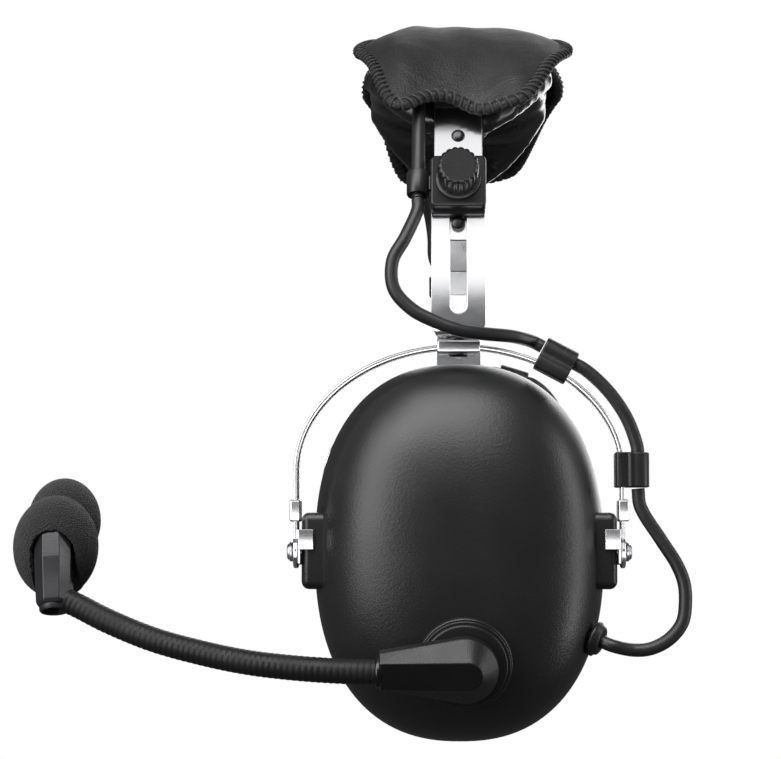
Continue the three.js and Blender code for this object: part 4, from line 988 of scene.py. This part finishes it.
# ---- Gooseneck --------------------------------------------------------------------------------------
# A flexible metal hose in a close-fitting ribbed rubber sleeve, straight out of the holder and then
# curving in and up to the mouth.
SLEEVE = coat("ribbed_sleeve", "neck_sleeve", (0.009, 0.009, 0.0095), 0.46,
              grain=("noise", 3500, 0.00003), patch=(120, 0.08),
              specular=0.25)
start = on_seat(-18.5, 0, NECK_OUT)
NECK_RUN = [(-33, 0.2, -32.4), (-46, 2, -31.6), (-59, 5, -30.2), (-72, 9, -27.8), (-85.5, 13, -24.4),
            (-99, 17.5, -19.4), (-107.5, 20, -15.4), (-111.6, 20.7, -13.6)]
neck_line = smooth_path([start] + [(x, start[1] + y, DOME_Z + z) for x, y, z in NECK_RUN], 40)
along = np.concatenate([[0], np.cumsum(np.linalg.norm(np.diff(neck_line, axis=0), axis=1))])
RIB_PITCH, RIB_DEPTH = 1.7, 0.17
even = np.linspace(0, along[-1], int(along[-1] / RIB_PITCH * 6))
neck_line = np.stack([np.interp(even, along, neck_line[:, k]) for k in range(3)], 1)
rib = np.abs(np.sin(math.pi * even / RIB_PITCH)) ** 0.6
neck = piece("ribbed_gooseneck", *tube(neck_line, NECK_RADIUS + RIB_DEPTH * (rib - 0.5), 32), SLEEVE,
             None, ("gooseneck",))
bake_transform(neck)


# ---- Microphone --------------------------------------------------------------------------------------
# An eight-sided housing that swells a little toward its capsule, with a black collar round the neck.
MIC_PAINT = coat("mic_paint", "mic_metal", (0.024, 0.024, 0.026), 0.22, metallic=0.3,
                 grain=("noise", 1500, 0.00002), patch=(80, 0.06))
MIC_BASE = np.array([-114.6, start[1] + 20.5, DOME_Z - 15])
MIC_TOP = np.array([-116.4, start[1] + 27.5, DOME_Z + 7])
mic_run = unit(MIC_TOP - MIC_BASE)
mic_back = unit(np.cross(mic_run, (0, 1.0, 0)))
mic_face = np.cross(mic_run, mic_back)


def eight_sided(levels):
    """Rings of (height, half-width, half-depth) with broad bevelled corners, along the microphone."""
    rings = []
    for height, wide, deep in levels:
        corner = 0.45
        ring = np.array([(1, corner), (corner, 1), (-corner, 1), (-1, corner), (-1, -corner),
                         (-corner, -1), (corner, -1), (1, -corner)])
        rings.append(MIC_BASE + height * mic_run + ring[:, :1] * wide * mic_back + ring[:,
                1:] * deep * mic_face)
    return np.vstack(rings), lidded(len(levels), 8)


levels = [(-0.4, 4.5, 4.5), (0.6, 4.9, 4.9), (13, 5.3, 5.0), (20, 5.2, 4.8), (22, 4.6, 4.3)]
rounded(piece("mic_body", *eight_sided(levels), MIC_PAINT, "mic", ("mic_housing",), smooth=False), 0.25,
        2, 20)
COLLAR = [(3.45, -1.6), (4.0, -1.8), (4.3, -1.3), (4.3, 0.4), (3.45, 0.4), (3.45, -1.6)]
piece("mic_collar", *turned(COLLAR, MIC_BASE - 0.2 * mic_run, mic_run, 48), RUBBER, "mic")
MIC_ELEMENT = np.array([-116.6, start[1] + 34, DOME_Z + 7.4])
CAPSULE = [(0, -2.6), (4.5, -2.6), (4.8, -2.3), (4.8, 2.3), (4.5, 2.6), (0, 2.6)]
piece("mic_capsule", *turned(CAPSULE, MIC_ELEMENT, (0, 1.0, 0)), MIC_PAINT, "mic", ("mic_element",))


# ---- Foam windscreen ----------------------------------------------------------------------------------
# One piece of open-cell foam, a large lobe round the housing and a smaller one round the capsule. Its
# mouth is stretched open over the housing, with a rolled lip.
def foam_finish():
    """Black open-cell foam: cells as pits, with painted shade darkening each pit against paler ridges, and
    a dusty sheen.
    """
    made = coat("open_cell_foam", "foam", (0.011, 0.011, 0.0115), 0.95, grain=("cells", 2300, 0.00045),
                sheen=0.15)
    tree = made.node_tree
    cells = next(x for x in tree.nodes if x.type == "TEX_VORONOI")
    # Painted shade: the colour darkens toward each cell's middle, down in the pits, and is paler on the
    # ridges between them.
    pit_shade_mask = tree.nodes.new("ShaderNodeMapRange")
    pit_shade_mask.inputs["From Min"].default_value = 0.25
    pit_shade_mask.inputs["From Max"].default_value = 0.75
    tint = tree.nodes.new("ShaderNodeMix")
    tint.data_type = "RGBA"
    tint.inputs["A"].default_value = (0.004, 0.004, 0.0045, 1)
    tint.inputs["B"].default_value = (0.018, 0.018, 0.019, 1)
    tree.links.new(cells.outputs["Distance"], pit_shade_mask.inputs["Value"])
    tree.links.new(pit_shade_mask.outputs["Result"], tint.inputs["Factor"])
    tree.links.new(tint.outputs["Result"], tree.nodes["Principled BSDF"].inputs["Base Color"])
    return made


FOAM = foam_finish()
FOAM_LOBES = (((-116.5, start[1] + 32, DOME_Z + 1.4), (12.3, 11.2, 14.8)),
              ((-116.2, start[1] + 44, DOME_Z + 9), (10.6, 11.5, 12.6)))


def remeshed(obj, voxel):
    """The piece's mesh rebuilt as even quads of a voxel size in mm, everything inside it closed up."""
    remesh = obj.modifiers.new("remesh", "REMESH")
    remesh.mode = "VOXEL"
    remesh.voxel_size = voxel * MM
    remesh.use_smooth_shade = True
    return applied(obj)


def applied(obj):
    """Replaces the piece's mesh with what its modifiers make of it, and drops them."""
    made = bpy.data.meshes.new_from_object(obj.evaluated_get(bpy.context.evaluated_depsgraph_get()))
    obj.modifiers.clear()
    obj.data = made
    return obj


def corners_of(obj):
    """The piece's corners as an array, in millimetres."""
    flat = np.empty(3 * len(obj.data.vertices))
    obj.data.vertices.foreach_get("co", flat)
    return flat.reshape(-1, 3) / MM


def move_corners(obj, verts):
    """Writes corners back to the piece, from millimetres."""
    obj.data.vertices.foreach_set("co", (verts * MM).ravel())
    obj.data.update()


def globe(at, size, rows=48, cols=64):
    """An ellipsoid: centre + size (sin u cos v, cos u, sin u sin v)."""
    u = np.linspace(0, math.pi, rows)[:, None]
    v = np.linspace(0, 2 * math.pi, cols, endpoint=False)
    ball = np.stack([np.sin(u) * np.cos(v), np.cos(u) * np.ones_like(v), np.sin(u) * np.sin(v)], -1)
    return (np.array(at) + np.array(size) * ball).reshape(-1, 3), grid_faces(rows, cols, wrap_cols=True)


first, second = (globe(at, size) for at, size in FOAM_LOBES)
foam = piece("foam_windscreen", np.vstack([first[0], second[0]]),
             np.vstack([first[1], second[1] + len(first[0])]),
             FOAM, "mic", ("windscreen",))
remeshed(foam, 0.45)
points = corners_of(foam)
# The mouth: the foam facing outward is pressed in along the housing.
height = (points - MIC_BASE) @ mic_run
offset = points - (MIC_BASE + np.clip(height, -8, 17.5)[:, None] * mic_run)
inward = points[:, 1] - FOAM_LOBES[0][0][1]
across = np.hypot(offset @ mic_back, np.maximum(height - 14, 0))
groove = np.clip(1 - (across / 6.3) ** 4, 0, 1) ** 0.5 * (inward < 4)
points[:, 1] += 9.5 * groove * np.clip((4 - inward) / 9, 0, 1)
move_corners(foam, points)


# ---- Head pad: cushion ------------------------------------------------------------------------------
# A foam slab wrapped in glossy vinyl hangs under the band. It is welded across into soft ribs, and its
# ends turn up round the spring behind the clamps.
def swollen(obj, voxel, pressure, cap, frames=20):
    """Blows a closed form up a little as cloth: even quads, air pressure, no gravity, and a cap in mm."""
    remeshed(obj, voxel)
    before = corners_of(obj)
    cloth = obj.modifiers.new("cloth", "CLOTH")
    cloth.settings.use_pressure = True
    cloth.settings.uniform_pressure_force = pressure
    cloth.settings.effector_weights.gravity = 0
    cloth.settings.tension_stiffness = cloth.settings.compression_stiffness = 25
    cloth.settings.bending_stiffness = 0.4
    cloth.point_cache.frame_start, cloth.point_cache.frame_end = 1, frames
    scene = bpy.context.scene
    for frame_number in range(1, frames + 1):
        scene.frame_set(frame_number)
    applied(obj)
    scene.frame_set(1)
    moved = corners_of(obj) - before
    far = np.linalg.norm(moved, axis=1, keepdims=True)
    move_corners(obj, before + moved * np.minimum(1, cap / np.maximum(far, 1e-9)))
    return obj


def subdivided(obj):
    """One step of Catmull-Clark subdivision, written into the mesh."""
    smooth = obj.modifiers.new("smooth", "SUBSURF")
    smooth.levels = smooth.render_levels = 1
    return applied(obj)


VINYL = coat("glossy_vinyl", "vinyl", (0.007, 0.007, 0.0075), 0.26, grain=("noise", 450, 0.00012),
             patch=(70, 0.08), coat_weight=0.15)
CUSHION_END = math.radians(60)
CUSHION_RIB = math.radians(15)


def cushion_slab():
    """A bent slab: rings round its section at each turn, waisted at the welds, its ends closed round."""
    turns = np.linspace(-CUSHION_END, CUSHION_END, 73)
    close = np.clip((CUSHION_END - np.abs(turns)) / math.radians(7), 0, 1)
    full = np.sqrt(1 - (1 - close) ** 2)
    weld = np.abs(np.cos(math.pi * turns / CUSHION_RIB)) ** 0.5
    a = np.linspace(0, 2 * math.pi, 48, endpoint=False)
    c, s = np.cos(a), np.sin(a)
    wide = 29.6 * np.sign(c) * np.abs(c) ** 0.35
    deep = np.sign(s) * np.abs(s) ** 0.6
    thick = (4.6 * (0.72 + 0.28 * weld) * np.maximum(full, 0.02))[:, None]
    radius = 57.2 + thick * deep
    taper = np.interp(np.degrees(np.abs(turns)), [0, 28, 38, 46, 52, 56, 60],
                      [1, 1, 0.88, 0.72, 0.56, 0.4, 0.08])
    x = wide * taper[:, None]
    verts = np.stack([x * np.ones_like(radius), radius * np.sin(turns)[:, None],
                      CROWN_Z + radius * np.cos(turns)[:, None]], -1)
    return verts, lidded(len(turns), len(a))


cushion = piece("pad_cushion", *cushion_slab(), VINYL, "headband", ("head_pad_cushion",))
swollen(cushion, 2.4, 4, 1.6)
subdivided(cushion)


# ---- Head pad: cover --------------------------------------------------------------------------------
# A leatherette sheet is folded over the band, its long edges bound with a rolled hem that is whip
# stitched. Each end flares at its corners and rises in the middle, over the mouth where the band goes in.
def leather_finish():
    """Black leatherette: fine hide cells under a few soft creases, with worn, paler high spots."""
    made = coat("leatherette", "pad_leather", (0.007, 0.007, 0.0073), 0.56,
                grain=("hide", 900, 0.00006), patch=(45, 0.07))
    tree = made.node_tree
    where = next(x for x in tree.nodes if x.type == "TEX_COORD")
    creases = tree.nodes.new("ShaderNodeTexNoise")
    creases.inputs["Scale"].default_value = 42
    creases.inputs["Detail"].default_value = 5
    creases.inputs["Distortion"].default_value = 1.2
    fold = tree.nodes.new("ShaderNodeBump")
    fold.inputs["Distance"].default_value = 0.0012
    fine = next(x for x in tree.nodes if x.type == "BUMP")
    tree.links.new(where.outputs["Object"], creases.inputs["Vector"])
    tree.links.new(creases.outputs["Fac"], fold.inputs["Height"])
    tree.links.new(fold.outputs["Normal"], fine.inputs["Normal"])
    return made


LEATHER = leather_finish()
HEM = coat("rolled_hem", "pad_leather", (0.005, 0.005, 0.0053), 0.52, grain=("hide", 1400, 0.0001),
           patch=(150, 0.1))
THREAD = coat("stitch_thread", "pad_leather", (0.012, 0.012, 0.0125), 0.6,
              grain=("noise", 6000, 0.00005), patch=(400, 0.1), sheen=0.3)
END_X = [-31, -29, -27, -25.5, -24.1, -23, -21.7, -20.2, -18.5, -16.5, -14, -11, -8, -5, -2, 0.5, 3.2,
         6, 10.3, 14.6, 18.5, 20.8, 22.9, 25.1, 27.3, 30, 34]
END_TURN = [27, 31.5, 36.5, 40.5, 45, 50, 55, 58.5, 61, 61.5, 60.3, 58, 56.8, 56.3, 56.5, 57.3, 58.8,
            60, 60.4, 60, 59, 56.5, 52.5, 47.5, 42, 36, 27]
COVER_RADIUS, COVER_SHEET = 72.2, 1.3
EDGE_DROP, CROWN_SHARE = 5.2, 0.85
COVER_FRONT, COVER_REAR = -30.2, 33.2
COVER_HALF = (COVER_REAR - COVER_FRONT) / 2
COVER_MIDDLE = (COVER_REAR + COVER_FRONT) / 2


def cover_end(x):
    """The turn from straight up at which the cover ends, at each x."""
    fine = np.linspace(-35, 36, 143)
    curve = np.interp(fine, END_X, END_TURN)
    kernel = np.hanning(9)
    soft = np.convolve(np.pad(curve, 4, mode="edge"), kernel / kernel.sum(), mode="valid")
    return np.radians(np.interp(x, fine, soft))


def hump(x, at, width):
    """A smooth hump across x: exp(-((x - at) / width)^2)."""
    return np.exp(-((x - at) / width) ** 2)


def cover_point(x, share):
    """The cover's outer surface: x across, share -1..1 of the way to its end on either side.
    It drops toward its long edges, is narrower over the crown than at its flared ends, sags between
    its corners, and lies in soft folds."""
    x, share = np.broadcast_arrays(np.asarray(x, float), np.asarray(share, float))
    turn = share * cover_end(x)
    edge = np.abs(x - COVER_MIDDLE) / COVER_HALF
    radius = COVER_RADIUS - EDGE_DROP * edge ** 3.6 + 1.2 * hump(x, -17, 7)
    near_end = np.clip((np.abs(turn) - math.radians(22)) / math.radians(30), 0, 1.3)
    radius = radius - 1.6 * near_end * hump(x, 2, 9) + 1.2 * near_end * hump(x, -17, 6)
    radius = radius + 1.3 * near_end * hump(x, 19, 7) + 2.0 * near_end * np.clip(edge - 0.75, 0, 1)
    radius = radius + 0.25 * np.sin(0.33 * x + 5 * turn) * np.sin(7 * turn + 0.1 * x)
    radius = radius + 0.3 * np.sin(0.35 * x + 2.5 * np.abs(turn)) * near_end
    flare = np.clip((np.abs(turn) - math.radians(9)) / math.radians(17), 0, 1)
    along = COVER_MIDDLE + (x - COVER_MIDDLE) * (CROWN_SHARE + 0.15 * flare ** 2 * (3 - 2 * flare))
    return np.stack([along, radius * np.sin(turn), CROWN_Z + radius * np.cos(turn)], -1)


xs = np.linspace(COVER_FRONT, COVER_REAR, 72)
shares = np.linspace(-1, 1, 150)
outer = cover_point(xs[None], shares[:, None])
middle_line = np.array([0, 0, CROWN_Z])
inward = unit(np.stack([0 * outer[..., 0], outer[..., 1], outer[..., 2] - CROWN_Z], -1))
inner = outer - COVER_SHEET * inward
rows, cols = outer.shape[:2]
top = grid_faces(rows, cols)
rim = np.concatenate([np.arange(cols), cols - 1 + cols * np.arange(1, rows),
                      rows * cols - 2 - np.arange(cols - 1),
                      cols * np.arange(rows - 2, 0, -1)])
sides = np.stack([rim, np.roll(rim, -1), np.roll(rim, -1) + rows * cols, rim + rows * cols], 1)
cover = piece("pad_cover", np.vstack([outer.reshape(-1, 3), inner.reshape(-1, 3)]),
              np.vstack([top, top[:, ::-1] + rows * cols, sides]), LEATHER, "headband",
              ("head_pad_cover",))


# The hem: a roll that follows the whole rim, with slanted stitches over it.
def rim_path(inset):
    """The cover's rim once round, inset from its edge."""
    span = 1 - inset / 66
    long_side = np.linspace(-span, span, 150)
    front, rear = COVER_FRONT + inset * 0.4, COVER_REAR - inset * 0.4
    across = np.linspace(front, rear, 60)[1:-1]
    return np.vstack([cover_point(front, long_side), cover_point(across, span),
                      cover_point(rear, long_side[::-1]),
                      cover_point(across[::-1], -span)])


def evenly(path, count):
    """A closed path sampled at even runs."""
    loop = np.vstack([path, path[:1]])
    run = np.concatenate([[0], np.cumsum(np.linalg.norm(np.diff(loop, axis=0), axis=1))])
    at = np.linspace(0, run[-1], count, endpoint=False)
    return np.stack([np.interp(at, run, loop[:, k]) for k in range(3)], 1), run[-1]


def ring_tube(path, wide, deep, sides=10):
    """A closed ring of tube whose section is an ellipse: wide along the cover and deep across it."""
    tangent = unit(np.roll(path, -1, axis=0) - np.roll(path, 1, axis=0))
    out = path - (path * (1, 0, 0) + middle_line)
    out = unit(out - tangent * np.sum(out * tangent, axis=1, keepdims=True))
    side_way = np.cross(tangent, out)
    a = np.linspace(0, 2 * math.pi, sides, endpoint=False)[:, None]
    wide, deep = (np.broadcast_to(np.asarray(v, float), len(path))[:, None, None] for v in (wide, deep))
    rings = path[:, None] + deep * np.cos(a) * out[:, None] + wide * np.sin(a) * side_way[:, None]
    return rings.reshape(-1, 3), grid_faces(len(path), sides, True, True), out, side_way, tangent


STITCH_PITCH, STITCH_LIFT, HEM_WIDE, HEM_DEEP = 2.5, 0.12, 2.0, 1.5
hem_line, hem_length = evenly(rim_path(0.6), 900)
lobes = 2 * round(hem_length / STITCH_PITCH / 2)
pinch = 1 - 0.16 * np.abs(np.cos(math.pi * lobes * np.arange(900) / 900)) ** 6
hem_line = hem_line - 0.55 * unit(hem_line * (0, 1, 1) - middle_line)
verts, faces, *_ = ring_tube(hem_line, HEM_WIDE * pinch, HEM_DEEP * pinch, 12)
piece("pad_hem", verts, faces, HEM, "headband")
centres, _ = evenly(hem_line, lobes)
_, _, out, side_way, tangent = ring_tube(centres, 1, 1, 4)
arc = np.radians(np.linspace(-75, 75, 7))
all_verts, all_faces = [], []
for k in range(lobes):
    lean = tangent[k] * 0.5
    line = [centres[k] + (HEM_DEEP + STITCH_LIFT) * math.cos(t) * out[k]
            + (HEM_WIDE + STITCH_LIFT) * math.sin(t) * side_way[k] + 1.3 * math.sin(t) * lean for t in arc]
    verts, faces = tube(np.array(line), 0.33, 5)
    all_faces += [[i + 35 * k for i in f] for f in faces]
    all_verts.append(verts)
piece("hem_stitches", np.vstack(all_verts), all_faces, THREAD, "headband")


# ---- Head pad: closing straps -----------------------------------------------------------------------
# A strip of pile-faced vinyl under each end of the cushion holds the pad closed on the band.
PILE = coat("looped_pile", "pad_leather", (0.006, 0.006, 0.0065), 0.95, grain=("cells", 2600, 0.0004),
            sheen=0.25)


def on_arc(radius, turn, x):
    """A point at a radius and a turn from straight up about the crown's centre, on the left side."""
    return np.stack([x, -radius * np.sin(turn), CROWN_Z + radius * np.cos(turn)], -1)


def fine_rectangle(width, height, radius):
    """A rounded rectangle with twelve corners along each of its steps, so that it can bend."""
    outline = rounded_rectangle(width, height, radius)
    runs = zip(outline, np.roll(outline, -1, axis=0))
    return np.vstack([np.linspace(a, b, 12, endpoint=False) for a, b in runs])


STRAP_TURN, STRAP_RADIUS = math.radians(48), 51
PILE_TURN, PILE_RADIUS = math.radians(49.5), 68


def on_cushion(a, b, radius):
    """A closing strap's point under the cushion: it narrows toward the cushion's end."""
    return on_arc(radius, STRAP_TURN + b / STRAP_RADIUS, a * (0.72 - 0.02 * b))


def under_cover(a, b, radius):
    """A pile lining's point just inside the cover."""
    return on_arc(radius, PILE_TURN + b / PILE_RADIUS, a)


for side in SIDES:
    strip = plate(fine_rectangle(26, 9, 3.5), 50.0, 51.2, on_cushion)
    rounded(piece(f"{side}_closing_strap", *strip, VINYL, "headband", (f"{side}_pad_strap",), side),
            0.4, 2)
    lining = plate(fine_rectangle(44, 5, 2.0), 67.9, 69.2, under_cover)
    rounded(piece(f"{side}_pile_lining", *lining, PILE, "headband", (), side), 0.3, 2)


# ---- Ear seals --------------------------------------------------------------------------------------
# Soft foam rings in thin vinyl, oval like the dome, stretched over its rim with a welded seam.
def seal_ring(sides=120):
    """A ring of squarish round section: share of the outline and depth as powers of cos and sin."""
    a = np.linspace(0, 2 * math.pi, 32, endpoint=False)
    section = np.sign(np.cos(a)) * np.abs(np.cos(a)) ** 0.7
    share = 0.745 + 0.195 * section
    depth = -30.9 + 8.1 * np.sign(np.sin(a)) * np.abs(np.sin(a)) ** 0.7
    profile = np.column_stack([share, np.zeros(32), depth])
    verts, _ = around_dome(profile, sides)
    return verts, grid_faces(32, sides, True, True)


for side in SIDES:
    seal = piece(f"{side}_soft_seal", *seal_ring(), VINYL, f"{side}_dome", (f"{side}_ear_seal",), side)
    swollen(seal, 2.6, 3, 0.9)
    subdivided(seal)
    a = np.linspace(0, 2 * math.pi, 16, endpoint=False)
    seam = np.column_stack([0.952 + 0.013 * np.cos(a), np.zeros(16), -25.0 + 0.6 * np.sin(a)])
    piece(f"{side}_seal_seam", around_dome(seam, 120)[0], grid_faces(16, 120, True, True), VINYL,
          f"{side}_dome", (), side)


# ---- Inside the ear cups ----------------------------------------------------------------------------
# A plastic baffle carries the speaker behind a cloth-faced cover, and open foam lines the dome behind it.
SPEAKER_CLOTH = coat("speaker_cloth", "speaker_cover", (0.012, 0.012, 0.013), 0.9,
                     grain=("cells", 1500, 0.0003), sheen=0.2)
BAFFLE = [(0, 0, -19.2), (0.88, 0, -19.2), (0.9, 0, -19.6), (0.9, 0, -21.1), (0.88, 0, -21.5),
          (0, 0, -21.5)]
SPEAKER = [(0, 9), (19.5, 9), (20, 9.5), (20, 21.2), (19.3, 21.9), (17, 22.0), (0, 22.0)]
for side in SIDES:
    piece(f"{side}_baffle", *around_dome(BAFFLE, 120), SHELL, f"{side}_dome", (f"{side}_baffle_plate",),
          side)
    piece(f"{side}_speaker_face", *turned(SPEAKER, DOME_MIDDLE, (0, 1.0, 0), 64), SPEAKER_CLOTH,
          f"{side}_dome", (f"{side}_speaker",), side)
    lining = np.vstack([bowl_profile(WALL + 1.2, APEX - WALL - 1.2, -16),
                        bowl_profile(WALL + 5, APEX - WALL - 5, -16)[::-1]])
    liner = piece(f"{side}_dome_lining", *around_dome(lining, 96), FOAM, f"{side}_dome",
                  (f"{side}_foam_liner",), side)


size = {"cad_box": [[float(v) for v in corner] for corner in cad_box],
        "blender_box": [[float(v) for v in corner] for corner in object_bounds()]}
